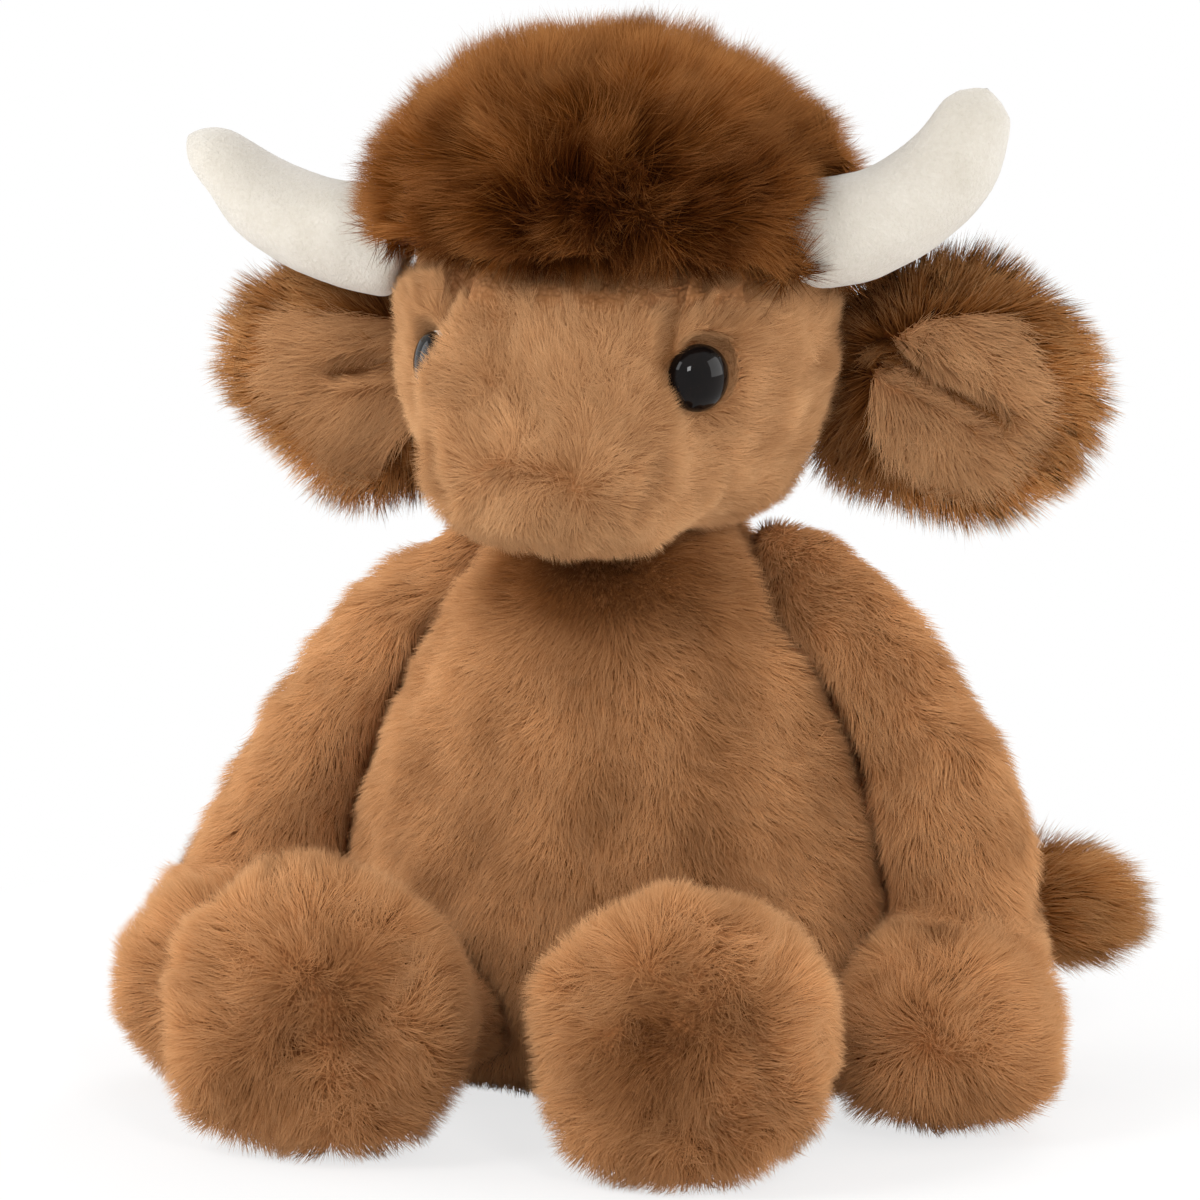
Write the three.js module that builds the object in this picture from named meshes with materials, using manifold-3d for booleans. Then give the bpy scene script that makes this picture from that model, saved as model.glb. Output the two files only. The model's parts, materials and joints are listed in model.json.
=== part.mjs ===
// A seated plush cow, 27 cm tall, in millimetres: +Z up, it faces -Y, and its own left is +X.
// The origin is the middle of the seat panel, on the surface that the toy sits on.
// Every stuffed form is a stack of rings on a smooth curve. A smaller form is cut back by the larger
// one that it is sewn to, and both keep the named gap, so a change of one size carries its neighbours.

import * as THREE from "three";
import { mergeVertices } from "three/addons/utils/BufferGeometryUtils.js";
import Module from "manifold-3d";

const wasm = await Module();
wasm.setup();

// Clearances
const GAP = 0.3; // between two pieces that are sewn or pressed together
const FLOOR_PRESS = 0.5; // how deep the floor flattens what stands on it

// Torso: a pear that narrows to a round neck
const SEAT_WIDTH = 98;
const SEAT_DEPTH = 62;
const SEAT_BACK = 9; // the seat's middle is this far behind the belly's
const SEAT_SWELL = 9; // the body bulges this much over its seat
const HIP_WIDTH = 142;
const HIP_DEPTH = 110;
const HIP_HEIGHT = 36;
const BELLY_SWELL = 6; // the belly, between hip and waist, is this much wider than a straight taper
const WAIST_WIDTH = 119;
const WAIST_DEPTH = 98;
const WAIST_HEIGHT = 90;
const SHOULDER_WIDTH = 88;
const SHOULDER_DEPTH = 74;
const SHOULDER_HEIGHT = 121;
const NECK_WIDTH = 56;
const NECK_HEIGHT = 143;
const NECK_RISE = 12; // the neck's dome stands this far into the head
const NECK_SET = 12; // the neck's axis is this far in front of the origin
const NECK_FLARE = 12; // halfway down to the shoulders the neck is this much wider

// Seat: a panel that closes the pocket of the pellet bag
const PANEL_WIDTH = 86;
const PANEL_DEPTH = 50;
const PANEL_THICK = 3;
const BAG_WIDTH = 76;
const BAG_DEPTH = 44;
const BAG_HEIGHT = 20;

// Head: a skull with a square snout, whose front is a flat bridge and a rounded muzzle
const SKULL_WIDTH = 108;
const SKULL_DEPTH = 101;
const SKULL_HEIGHT = 97;
const SKULL_SET = 17; // the skull's middle is this far in front of the origin
const SKULL_RISE = 45; // from the neck's height to the skull's widest ring
const BRIDGE_WIDTH = 60;
const BRIDGE_OUT = 5; // the bridge stands this far in front of the skull, at its top
const MUZZLE_WIDTH = 74;
const MUZZLE_OUT = 15; // the muzzle stands this far in front of the skull
const MUZZLE_DROP = 28; // from the skull's widest ring down to the muzzle's
const MUZZLE_RISE = 12; // from the muzzle's ring up to where the bridge starts
const CHIN_BACK = 12; // the chin's lowest ring is this far behind the muzzle's front
const BROW_RISE = 22; // of the brow, above the skull's widest ring
const BROW_BACK = 6; // the brow is this far behind the bridge's front
const FOREHEAD_RISE = 34; // of the forehead, above the skull's widest ring
const FOREHEAD_BACK = 12; // the forehead is this far behind the skull's front
const SNOUT_ROOT = 6; // the snout's rings end this far in front of the skull's middle
const SNOUT_TOP = 4; // the snout closes this far above the forehead
const MUZZLE_PANEL_DEPTH = 5;
const MUZZLE_PANEL_TILT = 33; // degrees that the panel's seam leans back under the chin

// Eyes: glossy domes on shanks, each held by a washer
const EYE_DIAMETER = 16;
const EYE_DOME = 5.4;
const EYE_RIM = 0.8;
const EYE_SPREAD = 71; // between the two eyes' middles
const EYE_SINK = 2.5; // how deep an eye's back lies in the head
const EYE_DROP = 2; // below the skull's widest ring
const EYE_TURN = 54; // degrees that each eye faces away from straight ahead
const SHANK_DIAMETER = 4;
const SHANK_LENGTH = 9;
const WASHER_DIAMETER = 13.6;
const WASHER_THICK = 1.4;
const CLOTH_THICK = 1.2; // the cloth between an eye and its washer

// Crown: the long-pile cap on the head
const CROWN_WIDTH = 112;
const CROWN_DEPTH = 114;
const CROWN_TOP = 24; // above the skull's top
const CROWN_DROP = 50; // from the crown's top to its widest ring
const CROWN_SET = 22; // the crown's widest ring is centred this far in front of the origin
const CROWN_LEAN = 6; // its top is centred this much further forward
const HAIRLINE_RISE = 24; // the front edge, above the skull's widest ring
const HAIRLINE_TILT = 9; // degrees that the edge falls towards the back

// Horns: the stuffing bends the left one further up than the right
const HORN_BASE = 29;
const HORN_TIP = 17;
const HORN_LENGTH = 68;
const HORN_RISE = { left: 27.5, right: 19.5 }; // of the root, above the skull's widest ring
const HORN_SET = 26; // of the root, in front of the origin
const HORN_START = -4; // degrees above level at the root
const HORN_SWEEP = 8; // degrees back from square to the head
const HORN_ROOT = 16; // how far its root runs into the head
const HORN_BEND = { left: 84, right: 46 }; // degrees from root to tip

// Ears: a dark long-pile back around a lighter lining
const EAR_LENGTH = 59;
const EAR_WIDTH = 65;
const EAR_ROOT_WIDTH = 50;
const EAR_THICK = 13;
const EAR_ROOT_THICK = 8;
const EAR_ROOT_REACH = 4; // from the hinge to the seam on the head
const EAR_SET = -3; // of the root, in front of the origin
const EAR_DROP = 12; // of the root, below the skull's widest ring
const EAR_SWEEP = 9; // degrees back from square to the head
const EAR_DROOP = { left: 2, right: 22 }; // degrees
const LINING_SHARE = 0.78; // of the ear's outline
const LINING_PROUD = 1.5;

// Arms: a bowed tube that ends in a paw, which faces forward
const SHOULDER_BALL = 34;
const SHOULDER_SET = 3; // of the shoulder, in front of the origin
const UPPER_ARM = 33;
const WRIST = 40;
const ARM_BOW = 14;
const PAW_WIDTH = 56;
const PAW_HEIGHT = 53;
const PAW_DEPTH = 54;
const PAW_PANEL_DEPTH = 9;
const PAW_SPREAD = { left: 87, right: 92 }; // from the middle to the paw
const PAW_FORWARD = { left: 26, right: 36 };
const WRIST_BEHIND = 12; // the wrist's middle, behind the paw's

// Legs: a cone that swells from the hip to a domed sole
const HIP_BALL = 29;
const HIP_SPREAD = 60; // between the two hips
const HIP_JOINT_HEIGHT = 26;
const FOOT_DIAMETER = 73;
const FOOT_SPREAD = 95; // between the two soles' middles
const FOOT_FORWARD = 108;
const SOLE_DOME = 13;
const SOLE_SEAM = 1; // the seam lies this far in front of the widest ring

// Tail: it comes out of the back and lies round to the left
const TAIL_HEIGHT = 40;
const TAIL_THICK = 14;
const TAIL_REACH = 79; // sideways, to the tuft
const TUFT_THICK = 28;
const TUFT_LENGTH = 29;
const TUFT_SEAT = 9; // how far the tail runs into its tuft
const TAIL_OUT = 8; // how far the tail stands behind the back
const TAIL_END = 2; // its end lies this far behind its root

// How far the moving pieces turn, in degrees from how the toy sits
const HEAD_TURN = [-35, 35];
const ARM_LIFT = [0, 40]; // out to the side
const LEG_LIFT = [0, 25];
const EAR_SWING = [-25, 25]; // forwards and back
const TAIL_SWING = [0, 90]; // round behind the back

// How finely the forms are made: [rings, sides]
const FINE = {
  torso: [12, 22],
  head: [10, 20],
  snout: [9, 14],
  crown: [8, 18],
  horn: [8, 9],
  ear: [7, 12],
  arm: [9, 12],
  paw: [6, 12],
  leg: [10, 16],
  tail: [7, 7],
  tuft: [5, 8],
  bag: [4, 14],
};
const ROUND_SIDES = 14;

const degrees = THREE.MathUtils.degToRad;
const vector = (x, y, z) => new THREE.Vector3(x, y, z);

// Solids

// A closed geometry as a solid that can be joined and cut.
function solid(geometry) {
  const bare = geometry.clone();
  bare.deleteAttribute("normal");
  bare.deleteAttribute("uv");
  const merged = mergeVertices(bare, 1e-4);
  return new wasm.Manifold(
    new wasm.Mesh({
      numProp: 3,
      vertProperties: merged.attributes.position.array,
      triVerts: new Uint32Array(merged.index.array),
    }),
  );
}

// An outline of [radius, height] points, turned about Z.
const turned = (outline, sides = ROUND_SIDES) =>
  new THREE.LatheGeometry(
    outline.map(([radius, height]) => new THREE.Vector2(radius, height)),
    sides,
  ).rotateX(Math.PI / 2);

// A ball whose flat faces, and not its corners, lie at the radius, so that a sphere turns inside it.
function ball(centre, radius) {
  const corner = radius / Math.cos(Math.PI / ROUND_SIDES) ** 2;
  return solid(new THREE.SphereGeometry(corner, ROUND_SIDES, ROUND_SIDES / 2).translate(...centre));
}

// A block that fills everything on the side of a plane that its normal points to.
function beyond(point, normal) {
  const size = 400;
  const block = new THREE.BoxGeometry(size, size, size).translate(0, 0, size / 2);
  const turn = new THREE.Quaternion().setFromUnitVectors(vector(0, 0, 1), normal.clone().normalize());
  return solid(block.applyQuaternion(turn).translate(...point));
}

const floor = beyond(vector(0, 0, 0), vector(0, 0, -1));

// Takes from a solid that turns about a joint all that would run into a room in its range of angles.
function clearing(made, room, pivot, axis, [low, high]) {
  const steps = 4;
  const there = new THREE.Matrix4().makeTranslation(...pivot);
  const back = there.clone().invert();
  let left = made;
  for (let i = 0; i <= steps; i++) {
    const angle = low + ((high - low) * i) / steps;
    const turn = new THREE.Matrix4().makeRotationAxis(axis, degrees(-angle));
    left = left.subtract(room.transform(there.clone().multiply(turn).multiply(back).elements));
  }
  return left;
}

// The largest body of a solid: a cut through a curved form can leave crumbs.
const largest = (made) =>
  made.decompose().reduce((best, body) => (body.volume() > best.volume() ? body : best));

// Stuffed forms

// A station of a form: the middle of its ring, the half width and half depth of the ring, and its
// squareness, where 2 is an ellipse and more is squarer.
const station = (middle, width, depth = width, squareness = 2) => [...middle, width, depth, squareness];

// A smooth curve through the stations: a function of 0 to 1 that gives a station.
function smooth(stations) {
  const knots = [0];
  for (let i = 1; i < stations.length; i++) {
    const step = Math.hypot(...stations[i].map((value, k) => value - stations[i - 1][k]));
    knots.push(knots[i - 1] + Math.sqrt(step));
  }
  const slope = (i, k) => (stations[i + 1][k] - stations[i][k]) / (knots[i + 1] - knots[i]);
  const last = stations.length - 1;
  const tangent = (i, k) => {
    if (i === 0) return slope(0, k);
    if (i === last) return slope(last - 1, k);
    const before = knots[i] - knots[i - 1];
    const after = knots[i + 1] - knots[i];
    return (slope(i - 1, k) * after + slope(i, k) * before) / (before + after);
  };
  return (share) => {
    const t = share * knots[last];
    let i = knots.findIndex((knot) => knot > t) - 1;
    if (i < 0) i = last - 1;
    const width = knots[i + 1] - knots[i];
    const s = (t - knots[i]) / width;
    return stations[i].map((value, k) => {
      const rise = s * s * (3 - 2 * s);
      const leave = s * (1 - s) * (1 - s) * width * tangent(i, k);
      const arrive = s * s * (s - 1) * width * tangent(i + 1, k);
      return value + (stations[i + 1][k] - value) * rise + leave + arrive;
    });
  };
}

// The two directions across a ring. Level rings keep to X and Y, and others stand square to the curve.
const level = () => [vector(1, 0, 0), vector(0, 1, 0)];
const square = (up) => (along) => {
  const across = up.clone().cross(along).normalize();
  return [across, along.clone().cross(across).normalize()];
};

// A closed form through stations whose first and last are points. grow makes it larger all round.
function form(stations, fineness, across = level, grow = 0) {
  const curve = smooth(stations);
  const [rings, sides] = fineness.map(Math.round);
  const points = [];
  const faces = [];
  const middle = (row) => vector(row[0], row[1], row[2]);
  const step = 1 / (rings + 1);
  for (let ring = 1; ring <= rings; ring++) {
    const share = ring * step;
    const row = curve(share);
    const along = middle(curve(share + step / 8)).sub(middle(curve(share - step / 8))).normalize();
    const [u, v] = across(along);
    for (let side = 0; side < sides; side++) {
      const angle = (2 * Math.PI * side) / sides;
      const power = 2 / row[5];
      const out = (value, half) => Math.sign(value) * Math.abs(value) ** power * (half + grow);
      points.push(
        middle(row)
          .addScaledVector(u, out(Math.cos(angle), row[3]))
          .addScaledVector(v, out(Math.sin(angle), row[4])),
      );
    }
  }
  for (let ring = 0; ring < rings - 1; ring++) {
    for (let side = 0; side < sides; side++) {
      const a = ring * sides + side;
      const b = ring * sides + ((side + 1) % sides);
      faces.push(a, b, b + sides, a, b + sides, a + sides);
    }
  }
  const ends = [middle(stations[0]), middle(stations.at(-1))];
  const axis = ends.map((end, i) => end.clone().sub(middle(curve(i ? 1 - step : step))).normalize());
  ends.forEach((end, i) => points.push(end.addScaledVector(axis[i], grow)));
  const top = (rings - 1) * sides;
  for (let side = 0; side < sides; side++) {
    const next = (side + 1) % sides;
    faces.push(next, side, points.length - 2, top + side, top + next, points.length - 1);
  }
  const geometry = new THREE.BufferGeometry().setFromPoints(points);
  geometry.setIndex(faces);
  return solid(geometry);
}

// The ring of a form of level rings at a height.
function ringAt(stations, height) {
  const curve = smooth(stations);
  let [low, high] = [0, 1];
  for (let i = 0; i < 40; i++) {
    const mid = (low + high) / 2;
    if (curve(mid)[2] < height) low = mid;
    else high = mid;
  }
  const [x, y, , width, depth, squareness] = curve(low);
  return { x, y, width, depth, squareness };
}

// How far a ring reaches forward at a place x to its side, and sideways at a depth y.
const frontOf = (ring, x) =>
  ring.y - ring.depth * (1 - Math.abs((x - ring.x) / ring.width) ** ring.squareness) ** (1 / ring.squareness);
const sideOf = (ring, y) =>
  ring.x + ring.width * (1 - Math.abs((y - ring.y) / ring.depth) ** ring.squareness) ** (1 / ring.squareness);

// Torso

const neckTop = NECK_HEIGHT + NECK_RISE;
const torsoRing = (y, height, width, depth) => station([0, y, height], width / 2, depth / 2);
const bellyMiddle = -SEAT_BACK;
const between = (width, wideNext, depth, deepNext, swell) => [
  (width + wideNext) / 2 + swell,
  (depth + deepNext) / 2 + swell,
];
const torsoStations = [
  station([0, 0, -FLOOR_PRESS], 0),
  torsoRing(0, -FLOOR_PRESS, SEAT_WIDTH, SEAT_DEPTH),
  torsoRing(bellyMiddle / 2, HIP_HEIGHT / 3, ...between(SEAT_WIDTH, HIP_WIDTH, SEAT_DEPTH, HIP_DEPTH, SEAT_SWELL)),
  torsoRing(bellyMiddle, HIP_HEIGHT, HIP_WIDTH, HIP_DEPTH),
  torsoRing(
    bellyMiddle,
    (HIP_HEIGHT + WAIST_HEIGHT) / 2,
    ...between(HIP_WIDTH, WAIST_WIDTH, HIP_DEPTH, WAIST_DEPTH, BELLY_SWELL),
  ),
  torsoRing(bellyMiddle, WAIST_HEIGHT, WAIST_WIDTH, WAIST_DEPTH),
  torsoRing(-NECK_SET, SHOULDER_HEIGHT, SHOULDER_WIDTH, SHOULDER_DEPTH),
  torsoRing(-NECK_SET, (SHOULDER_HEIGHT + NECK_HEIGHT) / 2, NECK_WIDTH + NECK_FLARE, NECK_WIDTH + NECK_FLARE),
  torsoRing(-NECK_SET, NECK_HEIGHT, NECK_WIDTH, NECK_WIDTH),
  torsoRing(-NECK_SET, neckTop - NECK_RISE / 4, NECK_WIDTH / 2, NECK_WIDTH / 2),
  station([0, -NECK_SET, neckTop], 0),
];

// The space that the top of the torso needs under a head that turns about the neck.
function neckRoom() {
  const curve = smooth(torsoStations);
  const [start, skirt] = [0.62, 10];
  const step = 1 / (Math.round(FINE.torso[0]) + 1);
  const outline = [];
  for (let share = Math.ceil(start / step) * step; share < 1 - step / 2; share += step) {
    const row = curve(share);
    outline.push([Math.max(row[3], row[4]) + 2 * GAP, row[2] + GAP]);
  }
  const [radius, height] = outline[0];
  outline.unshift([0, height - skirt], [radius, height - skirt]);
  outline.push([0, neckTop + GAP]);
  return solid(turned(outline, 2 * ROUND_SIDES).translate(0, -NECK_SET, 0));
}

// Seat panel and pellet bag

const ellipse = (width, depth, low, high) =>
  solid(
    new THREE.CylinderGeometry(0.5, 0.5, high - low, 2 * ROUND_SIDES)
      .rotateX(Math.PI / 2)
      .scale(width, depth, 1)
      .translate(0, 0, (low + high) / 2),
  );
const bagFloor = PANEL_THICK + GAP;
const bagStations = [
  station([0, 0, bagFloor - BAG_HEIGHT * 0.2], 0),
  station([0, 0, bagFloor - BAG_HEIGHT * 0.05], BAG_WIDTH * 0.43, BAG_DEPTH * 0.39),
  station([0, 0, bagFloor + BAG_HEIGHT * 0.35], BAG_WIDTH / 2, BAG_DEPTH / 2),
  station([0, 0, bagFloor + BAG_HEIGHT * 0.85], BAG_WIDTH / 3, BAG_DEPTH / 3),
  station([0, 0, bagFloor + BAG_HEIGHT], 0),
];
const bag = (grow) =>
  form(bagStations, FINE.bag, level, grow).subtract(
    beyond(vector(0, 0, bagFloor - grow), vector(0, 0, -1)),
  );

// Head

const skullMiddle = NECK_HEIGHT + SKULL_RISE;
const skullRing = (rise, share, squareness = 2.5) =>
  station(
    [0, -SKULL_SET, skullMiddle + (rise * SKULL_HEIGHT) / 2],
    (SKULL_WIDTH / 2) * share,
    (SKULL_DEPTH / 2) * share,
    squareness,
  );
const skullStations = [
  skullRing(-1, 0),
  skullRing(-0.97, 0.4),
  skullRing(-0.78, 0.74),
  skullRing(-0.42, 0.94),
  skullRing(0, 1),
  skullRing(0.34, 0.96),
  skullRing(0.66, 0.8),
  skullRing(0.9, 0.5),
  skullRing(1, 0),
];
const skullFront = SKULL_SET + SKULL_DEPTH / 2;
const muzzleHeight = skullMiddle - MUZZLE_DROP;
const snoutBack = -SKULL_SET - SNOUT_ROOT;
const snoutRing = (height, front, width, squareness = 2.7) =>
  station([0, (snoutBack - front) / 2, height], width / 2, (front + snoutBack) / 2, squareness);
const muzzleFront = skullFront + MUZZLE_OUT;
const chinHeight = skullMiddle - SKULL_HEIGHT / 2 + 1;
const snoutStations = [
  station([0, -muzzleFront + CHIN_BACK - 1, chinHeight], 0),
  snoutRing(chinHeight + 2, muzzleFront - CHIN_BACK, MUZZLE_WIDTH * 0.62, 2.2),
  snoutRing((chinHeight + muzzleHeight) / 2 - 1, muzzleFront - CHIN_BACK / 6, MUZZLE_WIDTH * 0.9, 2.3),
  snoutRing(muzzleHeight, muzzleFront, MUZZLE_WIDTH, 2.4),
  snoutRing(muzzleHeight + MUZZLE_RISE, muzzleFront - MUZZLE_OUT * 0.27, (MUZZLE_WIDTH + BRIDGE_WIDTH) / 2 + 1),
  snoutRing(skullMiddle, skullFront + (MUZZLE_OUT + BRIDGE_OUT) * 0.4, BRIDGE_WIDTH),
  snoutRing(skullMiddle + BROW_RISE, skullFront + BRIDGE_OUT - BROW_BACK, BRIDGE_WIDTH * 0.95),
  snoutRing(skullMiddle + FOREHEAD_RISE, skullFront - FOREHEAD_BACK, BRIDGE_WIDTH * 0.6, 2.2),
  station([0, (snoutBack - skullFront + FOREHEAD_BACK) / 2, skullMiddle + FOREHEAD_RISE + SNOUT_TOP], 0),
];
const skull = (grow) => form(skullStations, FINE.head, level, grow);
const head = skull(0).add(form(snoutStations, FINE.snout));
const headRoom = skull(GAP).add(form(snoutStations, FINE.snout, level, GAP));

// The muzzle's front panel is what stands in front of a plane that leans back under the chin.
const panelNormal = vector(0, -1, 0).applyAxisAngle(vector(1, 0, 0), degrees(MUZZLE_PANEL_TILT));
const panelPoint = vector(0, -muzzleFront, muzzleHeight).addScaledVector(panelNormal, -MUZZLE_PANEL_DEPTH);
const muzzlePanel = largest(head.intersect(beyond(panelPoint, panelNormal)));
const panelRoom = beyond(panelPoint.clone().addScaledVector(panelNormal, -GAP), panelNormal);

// Eyes, built along +Z and then turned to face out of the head

function eyeGeometry() {
  const radius = EYE_DIAMETER / 2;
  const steps = 5;
  const outline = [
    [0, -SHANK_LENGTH],
    [SHANK_DIAMETER / 2 - 0.6, -SHANK_LENGTH],
    [SHANK_DIAMETER / 2, -SHANK_LENGTH + 1],
    [SHANK_DIAMETER / 2, 0],
    [radius - 0.4, 0],
  ];
  for (let i = 0; i < steps; i++) {
    const angle = (i / steps) * (Math.PI / 2);
    outline.push([radius * Math.cos(angle), EYE_RIM + EYE_DOME * Math.sin(angle)]);
  }
  outline.push([0, EYE_RIM + EYE_DOME]);
  return turned(outline);
}

function washerGeometry() {
  const [inner, outer] = [SHANK_DIAMETER / 2 + GAP, WASHER_DIAMETER / 2];
  const high = -CLOTH_THICK;
  const low = high - WASHER_THICK;
  return turned([
    [inner, low],
    [outer, low],
    [outer, high],
    [inner, high],
    [inner, low],
  ]);
}

// The pocket that an eye, its shank and its washer need in the head.
function eyeRoom() {
  const washerFloor = -CLOTH_THICK - WASHER_THICK - GAP;
  const far = 30;
  return turned([
    [0, -SHANK_LENGTH - GAP],
    [SHANK_DIAMETER / 2 + 2 * GAP, -SHANK_LENGTH - GAP],
    [SHANK_DIAMETER / 2 + 2 * GAP, washerFloor],
    [WASHER_DIAMETER / 2 + GAP, washerFloor],
    [WASHER_DIAMETER / 2 + GAP, -GAP],
    [EYE_DIAMETER / 2 + GAP, -GAP],
    [EYE_DIAMETER / 2 + GAP, far],
    [0, far],
  ]);
}

const eyeHeight = skullMiddle - EYE_DROP;
const eyeFront = frontOf(ringAt(skullStations, eyeHeight), EYE_SPREAD / 2);
function eyePlace(side) {
  const facing = vector(side * Math.sin(degrees(EYE_TURN)), -Math.cos(degrees(EYE_TURN)), 0);
  const turn = new THREE.Quaternion().setFromUnitVectors(vector(0, 0, 1), facing);
  const place = vector((side * EYE_SPREAD) / 2, eyeFront, eyeHeight).addScaledVector(facing, -EYE_SINK);
  return (geometry) => solid(geometry.applyQuaternion(turn).translate(...place));
}

// Crown

const skullTop = skullMiddle + SKULL_HEIGHT / 2;
const crownMiddle = skullTop + CROWN_TOP - CROWN_DROP;
const crownRing = (rise, share) =>
  station(
    [0, -CROWN_SET - CROWN_LEAN * Math.max(rise, 0), crownMiddle + rise * CROWN_DROP],
    (CROWN_WIDTH / 2) * share,
    (CROWN_DEPTH / 2) * share,
    2.2,
  );
const crownStations = [
  crownRing(-1, 0),
  crownRing(-0.93, 0.4),
  crownRing(-0.66, 0.78),
  crownRing(0, 1),
  crownRing(0.36, 0.96),
  crownRing(0.7, 0.76),
  crownRing(0.94, 0.38),
  crownRing(1, 0),
];
const hairline = beyond(
  vector(0, -CROWN_SET - CROWN_DEPTH / 2, skullMiddle + HAIRLINE_RISE),
  vector(0, 0, -1).applyAxisAngle(vector(1, 0, 0), degrees(-HAIRLINE_TILT)),
);

// Horns

function hornStations(side, rise, bend) {
  const rootRing = ringAt(skullStations, skullMiddle + rise);
  const root = vector(sideOf(rootRing, -HORN_SET), -HORN_SET, skullMiddle + rise);
  const [start, turn] = [degrees(HORN_START), degrees(bend)];
  const arc = HORN_LENGTH / turn;
  const sweep = Math.tan(degrees(HORN_SWEEP));
  const rows = [station([side * (root.x - HORN_ROOT), root.y, root.z], 0)];
  rows.push(station([side * (root.x - HORN_ROOT + 2), root.y, root.z], HORN_BASE / 2 - 1));
  const steps = 6;
  for (let i = 0; i < steps; i++) {
    const share = i / steps;
    const angle = start + turn * share;
    const out = arc * (Math.sin(angle) - Math.sin(start));
    const up = arc * (Math.cos(start) - Math.cos(angle));
    const radius = (HORN_BASE - (HORN_BASE - HORN_TIP) * share ** 1.8) / 2;
    rows.push(station([side * (root.x + out), root.y + sweep * out, root.z + up], radius));
  }
  const angle = start + turn;
  const [out, up] = [arc * (Math.sin(angle) - Math.sin(start)), arc * (Math.cos(start) - Math.cos(angle))];
  rows.push(station([side * (root.x + out), root.y + sweep * out, root.z + up], 0));
  return rows;
}

// Ears, along +X from the hinge at the root, with Z up the ear and -Y its front

const earHeight = skullMiddle - EAR_DROP;
const earRoot = vector(
  sideOf(ringAt(skullStations, earHeight), -EAR_SET) + EAR_ROOT_REACH + GAP,
  -EAR_SET,
  earHeight,
);
const earOutline = [
  [-EAR_ROOT_REACH / EAR_LENGTH, 0],
  [(-0.7 * EAR_ROOT_REACH) / EAR_LENGTH, 0.7],
  [0, 1],
  [0.2, 0.94],
  [0.42, 1],
  [0.64, 0.94],
  [0.84, 0.7],
  [0.96, 0.36],
  [1, 0],
]; // [share of the length, share of the width there]

function earStations(share, shift) {
  return earOutline.map(([along, wide], i) => {
    const root = i < 3;
    const width = root ? EAR_ROOT_WIDTH : EAR_WIDTH;
    const thick = root ? EAR_ROOT_THICK : EAR_ROOT_THICK + (EAR_THICK - EAR_ROOT_THICK) * Math.sin(Math.PI * along);
    const middle = (1 - share) * 0.5;
    return station(
      [EAR_LENGTH * (middle + along * share), shift, 0],
      (width / 2) * wide * share,
      (thick / 2) * (wide > 0 ? Math.sqrt(wide) : 0) * share,
      2,
    );
  });
}

const earAcross = () => [vector(0, 0, -1), vector(0, 1, 0)];
const earForm = (share, shift, grow = 0) => form(earStations(share, shift), FINE.ear, earAcross, grow);
const liningShift = -EAR_THICK / 2 + (EAR_THICK * LINING_SHARE) / 2 - LINING_PROUD;
const liningForm = (grow) => earForm(LINING_SHARE, liningShift, grow);

const earTurn = (side, droop) => new THREE.Euler(0, side * degrees(droop), side * degrees(EAR_SWEEP), "ZYX");
const earPlace = (side, root, turn) => (made) => {
  const geometry = geometryOf(made);
  if (side < 0) mirror(geometry);
  geometry.applyMatrix4(new THREE.Matrix4().makeRotationFromEuler(turn));
  return geometry.translate(...root);
};

// Arms

const shoulderRing = ringAt(torsoStations, SHOULDER_HEIGHT);
const shoulder = (side) =>
  vector(side * sideOf(shoulderRing, -SHOULDER_SET), -SHOULDER_SET, SHOULDER_HEIGHT + 2);

function armForm(side, name, grow = 0) {
  const from = shoulder(side);
  const paw = vector(side * PAW_SPREAD[name], -PAW_FORWARD[name], PAW_HEIGHT / 2 - FLOOR_PRESS);
  const to = vector(paw.x, paw.y + WRIST_BEHIND, WRIST / 2);
  const outward = vector(side * (to.z - from.z) * -1, 0, Math.abs(to.x - from.x)).normalize();
  const along = (share) =>
    from.clone().lerp(to, share).addScaledVector(outward, 4 * ARM_BOW * share * (1 - share));
  const back = along(0.05).sub(from).normalize();
  const rootRing = (share) => [
    from.clone().addScaledVector(back, (-share * SHOULDER_BALL) / 2),
    (Math.sqrt(1 - share * share) * SHOULDER_BALL) / 2,
  ];
  const rows = [
    station(from.clone().addScaledVector(back, -SHOULDER_BALL / 2), 0),
    station(...rootRing(0.85)),
    station(...rootRing(0.5)),
    station(from, SHOULDER_BALL / 2),
    station(along(0.22), UPPER_ARM / 2),
    station(along(0.5), (UPPER_ARM * 2 + WRIST) / 6 + 0.5, (UPPER_ARM + WRIST) / 4),
    station(along(0.8), WRIST / 2 - 1),
    station(along(0.97), WRIST / 2 - 2),
    station(to.clone().setZ(2), WRIST / 4),
    station(to.clone().setZ(-FLOOR_PRESS), 0),
  ];
  const forward = square(vector(0, -1, 0));
  const reach = PAW_DEPTH / 2;
  const pawRow = (share, size) =>
    station([paw.x, paw.y + share * reach, paw.z], (PAW_WIDTH / 2) * size, (PAW_HEIGHT / 2) * size);
  const pawRows = [pawRow(1, 0), pawRow(0.88, 0.55), pawRow(0.5, 0.88), pawRow(0, 1), pawRow(-0.5, 0.97)];
  pawRows.push(pawRow(-0.82, 0.76), pawRow(-0.97, 0.36), pawRow(-1, 0));
  const whole = form(rows, FINE.arm, forward, grow).add(form(pawRows, FINE.paw, square(vector(0, 0, 1)), grow));
  const seam = vector(paw.x, paw.y - reach + PAW_PANEL_DEPTH, paw.z);
  return { whole: whole.subtract(floor), seam, forward: vector(0, -1, 0) };
}

// Legs

const hipRing = ringAt(torsoStations, HIP_JOINT_HEIGHT);
const hip = (side) =>
  vector((side * HIP_SPREAD) / 2, frontOf(hipRing, HIP_SPREAD / 2) + 1, HIP_JOINT_HEIGHT);

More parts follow.
